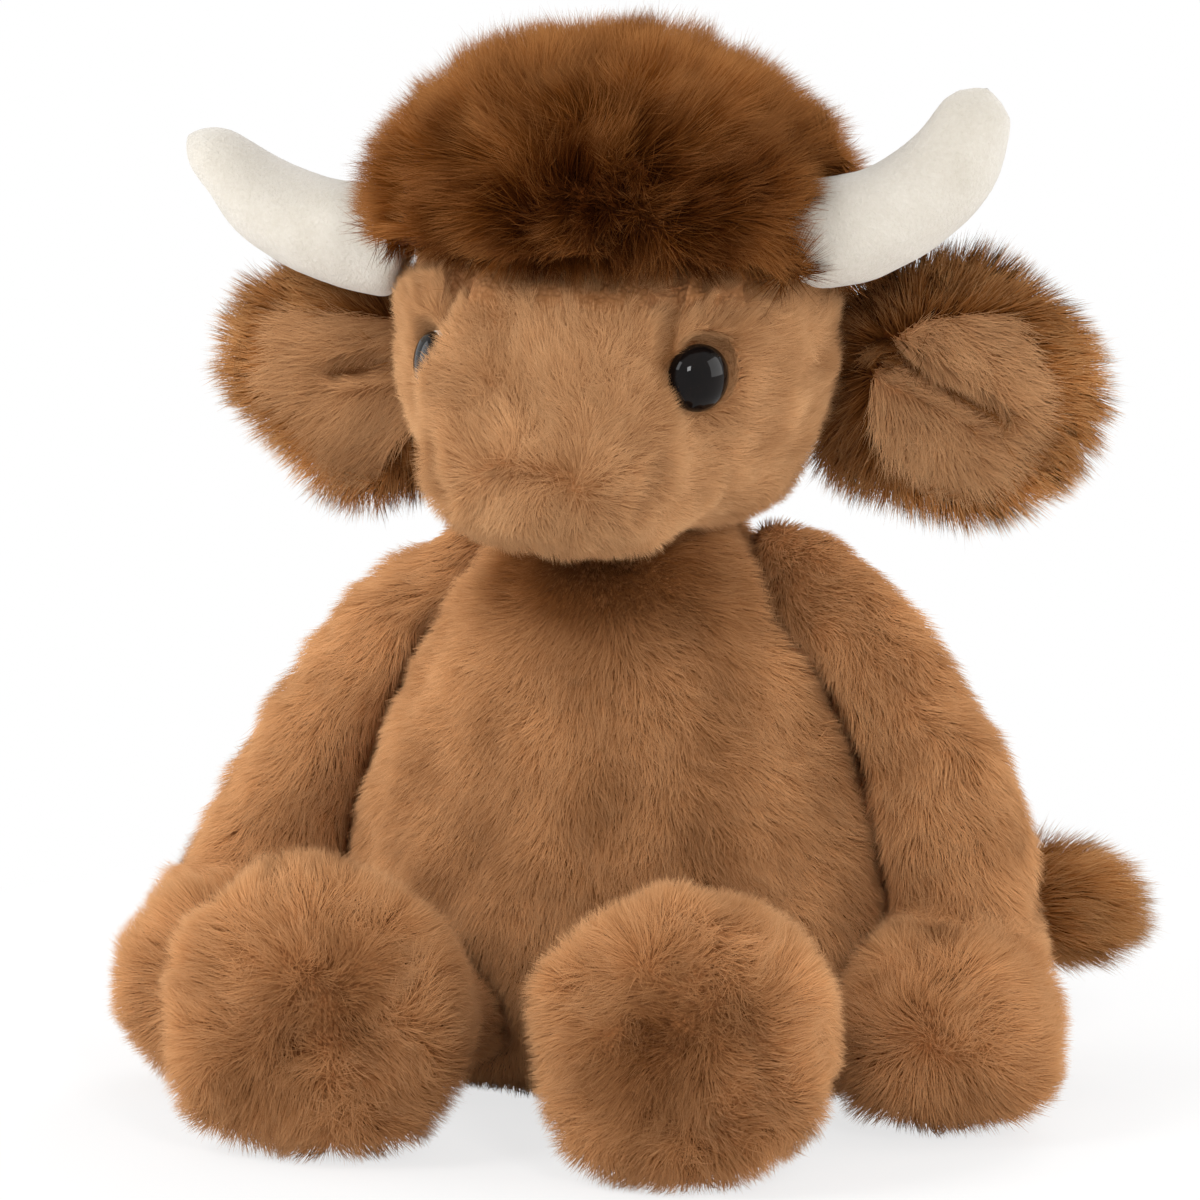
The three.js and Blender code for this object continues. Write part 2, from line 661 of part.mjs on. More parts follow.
function legForm(side, grow = 0) {
  const from = hip(side);
  const to = vector((side * FOOT_SPREAD) / 2, -FOOT_FORWARD, FOOT_DIAMETER / 2 - FLOOR_PRESS);
  const length = from.y - to.y;
  const forward = vector(0, -1, 0);
  const lean = to.clone().sub(from).normalize();
  const swell = (share) => HIP_BALL + (FOOT_DIAMETER - HIP_BALL) * share;
  const root = (share, size) =>
    station(from.clone().addScaledVector(lean, (share * HIP_BALL) / 2), (size * HIP_BALL) / 2);
  const row = (share, diameter) => {
    const ease = Math.sin((Math.PI / 2) * share);
    const middle = vector(from.x + (to.x - from.x) * ease, from.y - share * length, from.z + (to.z - from.z) * ease);
    return station(middle, diameter / 2);
  };
  const dome = (share, size) =>
    station(to.clone().addScaledVector(forward, SOLE_DOME * share), (FOOT_DIAMETER / 2) * size);
  const rows = [
    root(-1, 0),
    root(-0.85, 0.53),
    root(-0.5, 0.87),
    root(0, 1),
    row(0.2, swell(0.1)),
    row(0.42, swell(0.42)),
    row(0.65, swell(0.78)),
    row(0.87, swell(0.97)),
    dome(0, 1),
    dome(0.5, 0.87),
    dome(0.87, 0.52),
    dome(1, 0),
  ];
  const seam = to.clone().addScaledVector(forward, SOLE_SEAM);
  const whole = form(rows, FINE.leg, square(vector(0, 0, 1)), grow).subtract(floor);
  return { whole, seam, forward };
}

// A limb ends in a panel: what lies in front of the seam is the panel, and the rest is the limb.
const panelOf = ({ whole, seam, forward }) => largest(whole.intersect(beyond(seam, forward)));
const limbOf = ({ whole, seam, forward }) =>
  largest(whole.subtract(beyond(seam.clone().addScaledVector(forward, -GAP), forward)));

// Tail

const tailRing = ringAt(torsoStations, TAIL_HEIGHT);
const tailRoot = vector(0, 2 * tailRing.y - frontOf(tailRing, 0), TAIL_HEIGHT);
function tailForm(grow = 0) {
  const half = TAIL_THICK / 2;
  const point = (x, y) => [x, tailRoot.y + y, TAIL_HEIGHT];
  const rows = [
    station(point(-half * 0.6, -half * 0.7), 0),
    station(point(-half * 0.45, -half * 0.5), half * 0.7),
    station(point(0, 0), half),
    station(point(half * 1.4, TAIL_OUT * 0.8), half),
    station(point(TAIL_REACH * 0.45, TAIL_OUT * 1.1), half * 0.95),
    station(point(TAIL_REACH, TAIL_END), half * 0.85),
    station(point(TAIL_REACH + TUFT_SEAT * 0.9, TAIL_END), half * 0.6),
    station(point(TAIL_REACH + TUFT_SEAT, TAIL_END), 0),
  ];
  return form(rows, FINE.tail, square(vector(0, 0, 1)), grow);
}

function tuftForm() {
  const half = TUFT_THICK / 2;
  const row = (share, size) =>
    station([TAIL_REACH + share * TUFT_LENGTH, tailRoot.y + TAIL_END * (1 - share), TAIL_HEIGHT], half * size);
  const rows = [row(-0.03, 0), row(0, 0.66), row(0.18, 0.92), row(0.42, 1), row(0.78, 0.8), row(0.97, 0.45), row(1, 0)];
  return form(rows, FINE.tuft, square(vector(0, 0, 1)));
}

// Meshes

const cloth = (color, roughness = 0.95) => new THREE.MeshStandardMaterial({ color, roughness, metalness: 0 });
const MATERIALS = {
  bodyFur: cloth(0xa06b43),
  faceFur: cloth(0xac7b54),
  soleFur: cloth(0x8a5a34),
  longFur: cloth(0x5c3317, 0.9),
  hornPlush: cloth(0xe9e1d6),
  seatCloth: cloth(0x8f6542),
  bagCloth: cloth(0xd9d2c4),
  eyePlastic: cloth(0x0c0a09, 0.08),
  washerPlastic: cloth(0xe6e4de, 0.5),
};

function geometryOf(made) {
  const mesh = made.getMesh();
  const geometry = new THREE.BufferGeometry();
  geometry.setAttribute("position", new THREE.BufferAttribute(new Float32Array(mesh.vertProperties), 3));
  geometry.setIndex(new THREE.BufferAttribute(mesh.triVerts, 1));
  return geometry;
}

// Turns a geometry into its mirror image across the middle plane.
function mirror(geometry) {
  geometry.scale(-1, 1, 1);
  const index = geometry.index.array;
  for (let i = 0; i < index.length; i += 3) [index[i + 1], index[i + 2]] = [index[i + 2], index[i + 1]];
  return geometry;
}

const cow = new THREE.Group();
cow.name = "plush_cow";

// A moving body: a group that stands at its joint and turns about an axis there.
function body(name, pivot, axis, range, parent = cow) {
  const group = new THREE.Group();
  group.name = name;
  group.position.copy(pivot).sub(parent.position);
  group.userData = { axis: axis.toArray(), range };
  parent.add(group);
  return group;
}

// Adds a piece, made in the toy's own frame, to a body. The moving bodies hang at most two deep.
function add(name, made, material, group = cow) {
  const geometry = made.isBufferGeometry ? made : geometryOf(made);
  const pivot = group.getWorldPosition(vector(0, 0, 0));
  geometry.translate(-pivot.x, -pivot.y, -pivot.z);
  geometry.computeVertexNormals();
  const mesh = new THREE.Mesh(geometry, MATERIALS[material]);
  mesh.name = name;
  group.add(mesh);
}

const UP = vector(0, 0, 1);
const headBody = body("head_turn", vector(0, -NECK_SET, NECK_HEIGHT), UP, HEAD_TURN);
const tailBody = body("tail_swing", tailRoot, UP, TAIL_SWING);

const SIDES = [
  ["left", 1],
  ["right", -1],
];
let torso = form(torsoStations, FINE.torso).subtract(floor);
const torsoRoom = form(torsoStations, FINE.torso, level, GAP);
torso = torso.subtract(bag(GAP));
torso = torso.subtract(ellipse(PANEL_WIDTH + 2 * GAP, PANEL_DEPTH + 2 * GAP, -PANEL_THICK, PANEL_THICK + GAP));
torso = torso.subtract(ball(tailRoot, TAIL_THICK / 2 + 2 * GAP));

let face = head.subtract(panelRoom).subtract(neckRoom());
let crown = form(crownStations, FINE.crown).subtract(hairline).subtract(headRoom);

for (const [name, side] of SIDES) {
  const arm = armForm(side, name);
  const leg = legForm(side);
  const [armAxis, legAxis] = [vector(0, -side, 0), vector(-1, 0, 0)];
  const armBody = body(`${name}_arm_lift`, shoulder(side), armAxis, ARM_LIFT);
  const legBody = body(`${name}_leg_lift`, hip(side), legAxis, LEG_LIFT);
  torso = torso.subtract(ball(shoulder(side), SHOULDER_BALL / 2 + 2 * GAP));
  torso = torso.subtract(ball(hip(side), HIP_BALL / 2 + 2 * GAP));
  const clearOfTorso = torsoRoom.subtract(ball(shoulder(side), SHOULDER_BALL / 2 + GAP));
  const clearArm = clearing(limbOf(arm), clearOfTorso, shoulder(side), armAxis, ARM_LIFT);
  add(`${name}_arm`, largest(clearArm), "bodyFur", armBody);
  add(`${name}_paw_panel`, panelOf(arm), "soleFur", armBody);
  const clearOfBelly = torsoRoom.subtract(ball(hip(side), HIP_BALL / 2 + GAP));
  const clearLeg = clearing(limbOf(leg), clearOfBelly, hip(side), legAxis, LEG_LIFT);
  add(`${name}_leg`, largest(clearLeg), "bodyFur", legBody);
  add(`${name}_sole_panel`, panelOf(leg), "soleFur", legBody);

  const placeEye = eyePlace(side);
  face = face.subtract(placeEye(eyeRoom()));
  add(`${name}_eye`, placeEye(eyeGeometry()), "eyePlastic", headBody);
  add(`${name}_eye_washer`, placeEye(washerGeometry()), "washerPlastic", headBody);

  const hornRows = hornStations(side, HORN_RISE[name], HORN_BEND[name]);
  const upright = square(vector(0, -1, 0));
  crown = crown.subtract(form(hornRows, FINE.horn, upright, GAP));
  add(`${name}_horn`, largest(form(hornRows, FINE.horn, upright).subtract(headRoom)), "hornPlush", headBody);

  const turn = earTurn(side, EAR_DROOP[name]);
  const root = vector(side * earRoot.x, earRoot.y, earRoot.z);
  const earAxis = UP.clone().applyEuler(turn);
  const earBody = body(`${name}_ear_swing`, root, earAxis, EAR_SWING, headBody);
  const placeEar = earPlace(side, root, turn);
  const ear = solid(placeEar(largest(earForm(1, 0).subtract(liningForm(GAP)))));
  add(`${name}_ear_back`, largest(clearing(ear, headRoom, root, earAxis, EAR_SWING)), "longFur", earBody);
  add(`${name}_ear_lining`, placeEar(liningForm(0)), "faceFur", earBody);
}

add("torso", largest(torso), "bodyFur");
add("seat_panel", ellipse(PANEL_WIDTH, PANEL_DEPTH, 0, PANEL_THICK), "seatCloth");
add("pellet_bag", bag(0), "bagCloth");
add("head", largest(face), "faceFur", headBody);
add("muzzle_panel", muzzlePanel, "faceFur", headBody);
add("crown", largest(crown), "longFur", headBody);
const clearOfBack = torsoRoom.subtract(ball(tailRoot, TAIL_THICK / 2 + GAP));
const clearTail = clearing(tailForm(), clearOfBack, tailRoot, UP, TAIL_SWING);
add("tail", largest(clearTail), "bodyFur", tailBody);
add("tail_tuft", tuftForm().subtract(tailForm(GAP)), "longFur", tailBody);

export default cow;
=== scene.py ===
"""A seated plush cow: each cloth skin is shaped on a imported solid, and carries its pile as fine strands."""

import json
import math

import bpy
import numpy as np
from mathutils import Matrix, Vector
from mathutils.bvhtree import BVHTree


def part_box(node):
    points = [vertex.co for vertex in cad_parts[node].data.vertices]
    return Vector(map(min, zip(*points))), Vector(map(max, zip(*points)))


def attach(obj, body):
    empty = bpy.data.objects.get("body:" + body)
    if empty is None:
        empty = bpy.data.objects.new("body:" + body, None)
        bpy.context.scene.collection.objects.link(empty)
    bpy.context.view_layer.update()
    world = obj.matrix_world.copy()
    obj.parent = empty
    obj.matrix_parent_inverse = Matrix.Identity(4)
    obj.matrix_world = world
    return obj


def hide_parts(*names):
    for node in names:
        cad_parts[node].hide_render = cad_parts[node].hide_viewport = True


MM = 0.001
SIDES = (("left", 1), ("right", -1))

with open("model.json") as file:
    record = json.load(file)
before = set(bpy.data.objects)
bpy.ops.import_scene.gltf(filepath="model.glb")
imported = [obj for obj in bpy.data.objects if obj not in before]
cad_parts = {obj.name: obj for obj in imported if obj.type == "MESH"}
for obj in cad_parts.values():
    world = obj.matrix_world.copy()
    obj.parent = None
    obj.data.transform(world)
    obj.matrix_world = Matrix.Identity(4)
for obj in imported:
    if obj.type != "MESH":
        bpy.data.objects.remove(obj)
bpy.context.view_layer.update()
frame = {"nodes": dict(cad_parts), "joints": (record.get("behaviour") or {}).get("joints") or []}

# Places and sizes, in millimetres, worked out from the frame


def box(node):
    """The lowest and highest corner of a solid, in millimetres."""
    low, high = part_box(node)
    return np.array(low) / MM, np.array(high) / MM


def middle(node):
    """The middle of a solid's box, in millimetres."""
    low, high = box(node)
    return (low + high) / 2


def pivot(name):
    """Where a joint turns, in millimetres."""
    joint = next(j for j in frame["joints"] if j["name"] == name)
    return np.array(joint["pos_m"]) / MM


# Where the pile of the face, the crown and the chest parts
MUZZLE_PART = middle("muzzle_panel") + np.array([-2, -4, 11])
CROWN_PART = np.array([10, box("crown")[0][1] + 4, middle("crown")[2] + 6])
CHEST_PART = np.array([0, -40, 142])
EYE_TURN = math.radians(54)  # how far each eye faces outward from straight ahead


# Colours


def linear(red, green, blue):
    """A colour of 0 to 255, as linear values with an alpha of 1."""
    values = [v / 255 for v in (red, green, blue)]
    return [v / 12.92 if v <= 0.04045 else ((v + 0.055) / 1.055) ** 2.4 for v in values] + [1]


# Noise and falloffs


def waves(seed, size, count=7):
    """A smooth noise of points in millimetres, of mean 0 and about unit spread."""
    rng = np.random.default_rng(seed)
    way = rng.normal(size=(count, 3))
    way /= np.linalg.norm(way, axis=1, keepdims=True)
    way *= 2 * math.pi / size * rng.uniform(0.6, 1.7, (count, 1))
    phase = rng.uniform(0, 2 * math.pi, count)
    return lambda points: np.sin(points @ way.T + phase).sum(1) / math.sqrt(count / 2)


def swirl(seed, size):
    """A smooth noise of vectors."""
    parts = [waves(seed * 10 + i, size) for i in range(3)]
    return lambda points: np.stack([part(points) for part in parts], 1)


def unit(vectors):
    """The vectors at length 1."""
    return vectors / np.maximum(np.linalg.norm(vectors, axis=-1, keepdims=True), 1e-9)


def near(points, centre, radius):
    """1 at the centre, falling smoothly to 0 over about the radius. Each may differ by axis."""
    return np.exp(-((((points - np.array(centre)) / radius) ** 2).sum(1)))


def off_line(points, start, end):
    """The way to each point from the nearest place on the line from start to end."""
    start, way = np.array(start, float), np.array(end, float) - np.array(start, float)
    share = np.clip((points - start) @ way / (way @ way), 0, 1)
    return points - start - share[:, None] * way


def line(points, start, end, width):
    """1 on the line from start to end, falling smoothly to 0 over about the width."""
    return np.exp(-(off_line(points, start, end) ** 2).sum(1) / width**2)


def ramp(value, low, high):
    """0 up to low, 1 from high on, and smooth between them."""
    share = np.clip((value - low) / (high - low), 0, 1)
    return share * share * (3 - 2 * share)


# Materials


class Nodes:
    """Short calls for building the node tree of a material or a world."""

    def __init__(self, owner):
        self.owner = owner
        owner.use_nodes = True
        self.tree = owner.node_tree
        self.tree.nodes.clear()

    def add(self, kind, inputs=None, **settings):
        """A new shader node, with values or links for its inputs."""
        node = self.tree.nodes.new(kind)
        for key, value in settings.items():
            setattr(node, key, value)
        for key, value in (inputs or {}).items():
            if isinstance(value, bpy.types.NodeSocket):
                self.tree.links.new(value, node.inputs[key])
            else:
                node.inputs[key].default_value = value
        return node

    def place(self):
        """Where a point lies on its piece, in metres."""
        return self.add("ShaderNodeTexCoord").outputs["Object"]

    def noise(self, place, scale, detail, **inputs):
        sockets = {"Vector": place, "Scale": scale, "Detail": detail, **inputs}
        return self.add("ShaderNodeTexNoise", sockets).outputs["Fac"]

    def pair(self, operation, a, b):
        return self.add("ShaderNodeMath", {0: a, 1: b}, operation=operation).outputs[0]

    def seen(self):
        """1 to the camera, also in a reflection, and 0 to the light that reaches the object."""
        rays = self.add("ShaderNodeLightPath").outputs
        either = self.pair("MAXIMUM", rays["Is Camera Ray"], rays["Is Glossy Ray"])
        return self.pair("MAXIMUM", either, rays["Is Transmission Ray"])

    def colours(self, factor, stops):
        """A ramp through (place, colour) stops, with colours of 0 to 255."""
        node = self.add("ShaderNodeValToRGB", {"Fac": factor})
        elements = node.color_ramp.elements
        for i, (place, colour) in enumerate(stops):
            element = elements[i] if i < 2 else elements.new(place)
            element.position = place
            element.color = linear(*colour)
        return node.outputs["Color"]

    def mix(self, a, b, factor):
        return self.add("ShaderNodeMix", {6: a, 7: b, 0: factor}, data_type="RGBA").outputs[2]

    def finish(self, colour, bump=None, bump_height=0.0, **values):
        """The material, with a shader of this colour, a bump of that height in metres, and these values."""
        sockets = {"Base Color": colour}
        sockets.update({key.replace("_", " "): value for key, value in values.items()})
        shader = self.add("ShaderNodeBsdfPrincipled", sockets)
        if bump is not None:
            normal = self.add("ShaderNodeBump", {"Height": bump, "Distance": bump_height, "Strength": 1.0})
            self.tree.links.new(normal.outputs["Normal"], shader.inputs["Normal"])
        output = self.add("ShaderNodeOutputMaterial")
        self.tree.links.new(shader.outputs["BSDF"], output.inputs["Surface"])
        return self.owner


def new_material(name):
    return Nodes(bpy.data.materials.new(name))


STRAND_STOPS = (0.0, 0.5, 1.0)  # along a strand, where its root, middle and tip colours lie
PATCH_SCALE, KNIT_SCALE = 70.0, 900.0  # of the cloth's patches and of its knitted loops


def pile_material(name, dark, light):
    """Fur. dark and light are (root, middle, tip) colours of the darkest and lightest strands.

    A strand's place on its map is its tone, across, and how far it is from root to tip, along.
    """
    nodes = new_material(name)
    place = nodes.add("ShaderNodeUVMap", uv_map="OFBake").outputs["UV"]
    axes = nodes.add("ShaderNodeSeparateXYZ", {"Vector": place}).outputs
    # From root to tip each strand lightens: partly the fur's own colour, partly painted shade deep in the
    # pile and painted rim light at the tips.
    low, high = (nodes.colours(axes["Y"], zip(STRAND_STOPS, shades)) for shades in (dark, light))
    return nodes.finish(nodes.mix(low, high, axes["X"]), Roughness=0.75, Specular_IOR_Level=0.0)


def cloth_material(name, dark, light):
    """The knitted backing that the pile stands on."""
    nodes = new_material(name)
    place = nodes.place()
    patches = nodes.noise(place, PATCH_SCALE, 3.0)
    knit = nodes.add("ShaderNodeTexVoronoi", {"Vector": place, "Scale": KNIT_SCALE}).outputs["Distance"]
    base = nodes.colours(patches, [(0.3, dark), (0.7, light)])
    colour = nodes.mix(base, nodes.colours(knit, [(0.0, light), (0.6, dark)]), 0.4)
    return nodes.finish(colour, bump=knit, bump_height=0.0004, Roughness=0.9, Specular_IOR_Level=0.1)


def horn_material():
    """Short cream plush, whose nap is too fine for strands."""
    nodes = new_material("horn_plush")
    place = nodes.place()
    nap = nodes.noise(place, 900.0, 4.0, Roughness=0.7)
    soft = nodes.noise(place, 60.0, 3.0)
    base = nodes.colours(soft, [(0.3, (206, 198, 184)), (0.7, (220, 213, 201))])
    fine = nodes.colours(nap, [(0.3, (190, 180, 163)), (0.7, (226, 220, 210))])
    colour = nodes.mix(base, fine, 0.25)
    return nodes.finish(
        colour, bump=nap, bump_height=0.0006, Roughness=0.95, Sheen_Weight=0.5, Sheen_Roughness=0.5
    )


# Darkest and lightest strands, as (root, middle, tip): the darker roots are partly painted shade, the lighter
# tips partly painted rim light.
BODY_DARK = [(84, 46, 18), (110, 64, 30), (138, 86, 46)]
BODY_LIGHT = [(198, 134, 84), (226, 163, 109), (242, 187, 136)]
FACE_DARK = [(108, 67, 36), (136, 88, 50), (160, 108, 66)]
FACE_LIGHT = [(206, 148, 100), (230, 173, 121), (244, 194, 144)]
LONG_DARK = [(22, 6, 1), (46, 17, 3), (82, 36, 8)]
LONG_LIGHT = [(114, 58, 17), (172, 101, 45), (238, 168, 102)]
RIM_LIGHT = [(146, 86, 38), (196, 126, 68), (246, 190, 130)]

pile_materials = {
    "body": pile_material("body_pile", BODY_DARK, BODY_LIGHT),
    "face": pile_material("face_pile", FACE_DARK, FACE_LIGHT),
    "long": pile_material("long_pile", LONG_DARK, LONG_LIGHT),
    "rim": pile_material("rim_pile", LONG_DARK, RIM_LIGHT),
}
body_cloth = cloth_material("body_backing", BODY_DARK[0], BODY_LIGHT[0])
cloth = {  # of each slot
    "body_fur": body_cloth,
    "sole_fur": body_cloth,
    "face_fur": cloth_material("face_backing", FACE_DARK[1], FACE_LIGHT[0]),
    "long_fur": cloth_material("long_backing", LONG_DARK[0], LONG_LIGHT[0]),
    "horn_plush": horn_material(),
}


# Skins


def link(name, data):
    """A new object in the scene that holds a mesh, a light or a camera."""
    piece = bpy.data.objects.new(name, data)
    bpy.context.scene.collection.objects.link(piece)
    return piece


def arrays(mesh, scale=1.0):
    """The vertices of a mesh, times the scale, and its faces as lists of corners."""
    co = np.empty(len(mesh.vertices) * 3, np.float32)
    mesh.vertices.foreach_get("co", co)
    return co.reshape(-1, 3).astype(float) * scale, [list(p.vertices) for p in mesh.polygons]


LUMP_SIZE = 26  # of the unevenness of the filling
LOWEST_SKIN = 0.4  # leaves room for the pile between the cloth and the floor
INSIDE = 1.0  # a triangle that lies deeper than this in another form can't be seen


class Form:
    """A smooth skin, in millimetres, made from solids and drawn in by the inset, to where the cloth lies.

    sculpt moves its vertices, lumps is the height of its unevenness, and relax rounds pointed tips.
    """

    def __init__(self, solids, inset, seed, voxel=2.6, smooth=12, sculpt=None, lumps=0.7, relax=0):
        points, faces = [], []
        for solid in solids:
            co, polygons = arrays(frame["nodes"][solid].data)
            faces += [[len(points) + corner for corner in polygon] for polygon in polygons]
            points += list(co)
        mesh = bpy.data.meshes.new("form")
        mesh.from_pydata(points, [], faces)
        raw = link("form", mesh)
        remesh = raw.modifiers.new("remesh", "REMESH")
        remesh.mode = "VOXEL"
        remesh.voxel_size = voxel * MM
        soften = raw.modifiers.new("soften", "SMOOTH")
        soften.factor = 0.5
        soften.iterations = smooth
        graph = bpy.context.evaluated_depsgraph_get()
        made = bpy.data.meshes.new_from_object(raw.evaluated_get(graph))
        bpy.data.objects.remove(raw)
        self.co, self.faces = arrays(made, 1 / MM)
        bpy.data.meshes.remove(made)
        fans = [[(f[0], f[i], f[i + 1]) for i in range(1, len(f) - 1)] for f in self.faces]
        self.tris = np.array([triangle for fan in fans for triangle in fan])
        self.measure()
        self.co += self.normals * (lumps * waves(seed, LUMP_SIZE)(self.co))[:, None]
        if sculpt:
            self.co = sculpt(self.co, self.normals)
        if relax:
            self.relax(relax)
        if sculpt or relax:
            self.measure()
        self.co -= self.normals * inset
        self.co[:, 2] = np.maximum(self.co[:, 2], LOWEST_SKIN)
        self.measure()
        self.tree = BVHTree.FromPolygons([Vector(p) for p in self.co], self.faces)

    def relax(self, rounds):
        """Draws each vertex half way to the middle of its neighbours, a number of times."""
        ends = np.concatenate([self.tris[:, [i, (i + 1) % 3]] for i in range(3)])
        count = np.bincount(ends[:, 0], minlength=len(self.co))[:, None]
        for _ in range(rounds):
            total = [np.bincount(ends[:, 0], self.co[ends[:, 1], k], len(self.co)) for k in range(3)]
            self.co += 0.5 * (np.stack(total, 1) / count - self.co)

    def measure(self):
        """Works out the areas, middles and directions of the triangles, and the vertices' normals."""
        a, b, c = (self.co[self.tris[:, i]] for i in range(3))
        cross = np.cross(b - a, c - a)
        self.areas = np.linalg.norm(cross, axis=1) / 2
        normals = np.zeros_like(self.co)
        for i in range(3):
            np.add.at(normals, self.tris[:, i], cross)
        self.normals = unit(normals)
        self.centres = (a + b + c) / 3
        self.facing = unit(cross)

    def uncovered(self, others, reach):
        """Which triangles can be seen: not inside another form, nor facing one that lies within reach."""
        seen = np.ones(len(self.tris), bool)
        for other in others:
            low, high = other.co.min(0) - reach, other.co.max(0) + reach
            close = ((self.centres > low) & (self.centres < high)).all(1)
            for i in np.flatnonzero(close & seen):
                centre, facing = Vector(self.centres[i]), Vector(self.facing[i])
                hit, normal, _, distance = other.tree.find_nearest(centre)
                if (centre - hit).dot(normal) < -INSIDE:
                    seen[i] = False
                elif distance < reach and other.tree.ray_cast(centre, facing, reach)[0]:
                    seen[i] = False
        return seen

    def skin(self, name, body, slot, solids, keep=None):
        """The piece that stands for the solids: all of the form, or the faces whose middles keep() takes."""
        faces = self.faces
        if keep is not None:
            centres = np.array([self.co[f].mean(0) for f in faces])
            faces = [f for f, kept in zip(faces, keep(centres)) if kept]
        used = sorted({corner for f in faces for corner in f})
        number = {corner: i for i, corner in enumerate(used)}
        mesh = bpy.data.meshes.new(name)
        mesh.from_pydata(self.co[used] * MM, [], [[number[c] for c in f] for f in faces])
        mesh.materials.append(cloth[slot])
        piece = link(name, mesh)
        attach(piece, body)
        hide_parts(*solids)
        return piece


def beyond(test):
    """The opposite of a test of points."""
    return lambda points: ~test(points)


# Pile

share_drawn = 1.0
POINTS = {"long": 3, "short": 2}  # of a strand that bends once, and of a straight one
RING_SIZE = (1.0, 0.8)  # of a strand's rings, from its root up
OUTWARD = 0.88  # how much a strand is shaded like the skin below it
LOWEST_STRAND = 0.15  # just above the floor
HALF_STRAND = 0.018  # of the map's width that half a strand takes
MOST_TRIANGLES = 190000  # in one piece
# The unevenness of the pile: how strong, and how large in millimetres
LOCKS, WISPS = (1, 22), (0.5, 7)
LENGTHS, LEANS = (0.05, 12), (math.radians(4), 9)
PATCHES, FLECKS = (0.07, 24), (0.04, 5)


def triangles_each(points):
    """The triangles of a strand: two for each side of a ring, and three for its tip."""
    return 6 * (points - 2) + 3


def strands(name, paths, normals, width, tones):
    """A mesh of three-sided tapered strands. paths is (strands, points, 3) in millimetres."""
    count, points, _ = paths.shape
    rings = points - 1
    along = unit(paths[:, -1] - paths[:, 0])
    side = unit(np.cross(along, normals + 1e-4))
    other = np.cross(along, side)
    co = np.empty((count, 3 * rings + 1, 3), np.float32)
    shade = np.empty_like(co)
    for ring in range(rings):
        for corner in range(3):
            angle = 2 * math.pi * corner / 3 + math.pi / 6
            out = math.cos(angle) * side + math.sin(angle) * other
            row = 3 * ring + corner
            co[:, row] = paths[:, ring] + out * (width * RING_SIZE[ring])[:, None]
            shade[:, row] = unit(normals * OUTWARD + out * (1 - OUTWARD))
    co[:, -1] = paths[:, -1]
    shade[:, -1] = unit(normals + along * 0.3)
    np.maximum(co[:, :, 2], LOWEST_STRAND, out=co[:, :, 2])

    corners, places, sizes = [], [], []
    across = (0, 2 * HALF_STRAND, HALF_STRAND)  # where a ring's three corners lie on the map
    for ring in range(rings):
        for corner in range(3):
            a, b = 3 * ring + corner, 3 * ring + (corner + 1) % 3
            low, high = ring / rings, (ring + 1) / rings
            left, right = across[corner], across[(corner + 1) % 3]
            if ring < rings - 1:
                corners += [a, b, b + 3, a + 3]
                places += [(left, low), (right, low), (right, high), (left, high)]
                sizes.append(4)
            else:
                corners += [a, b, 3 * rings]
                places += [(left, low), (right, low), (HALF_STRAND, high)]
                sizes.append(3)
    rows = 3 * rings + 1
    loops = (np.arange(count)[:, None] * rows + np.array(corners)).astype(np.int32)
    uv = np.empty((count, len(places), 2), np.float32)
    uv[:] = np.array(places)
    uv[:, :, 0] += (np.clip(tones, 0, 1) * (1 - 2 * HALF_STRAND))[:, None]

    mesh = bpy.data.meshes.new(name)
    mesh.vertices.add(count * rows)
    mesh.vertices.foreach_set("co", (co * MM).reshape(-1))
    mesh.loops.add(loops.size)
    mesh.loops.foreach_set("vertex_index", loops.reshape(-1))
    starts = np.concatenate([[0], np.cumsum(np.tile(sizes, count))[:-1]]).astype(np.int32)
    mesh.polygons.add(count * len(sizes))
    mesh.polygons.foreach_set("loop_start", starts)
    mesh.update(calc_edges=True)
    mesh.uv_layers.new(name="OFBake").uv.foreach_set("vector", uv.reshape(-1))
    shading = mesh.attributes.new("custom_normal", "FLOAT_VECTOR", "POINT")
    shading.data.foreach_set("vector", shade.reshape(-1))
    return link(name, mesh)


def evenly(points, normals):
    return np.ones(len(points))


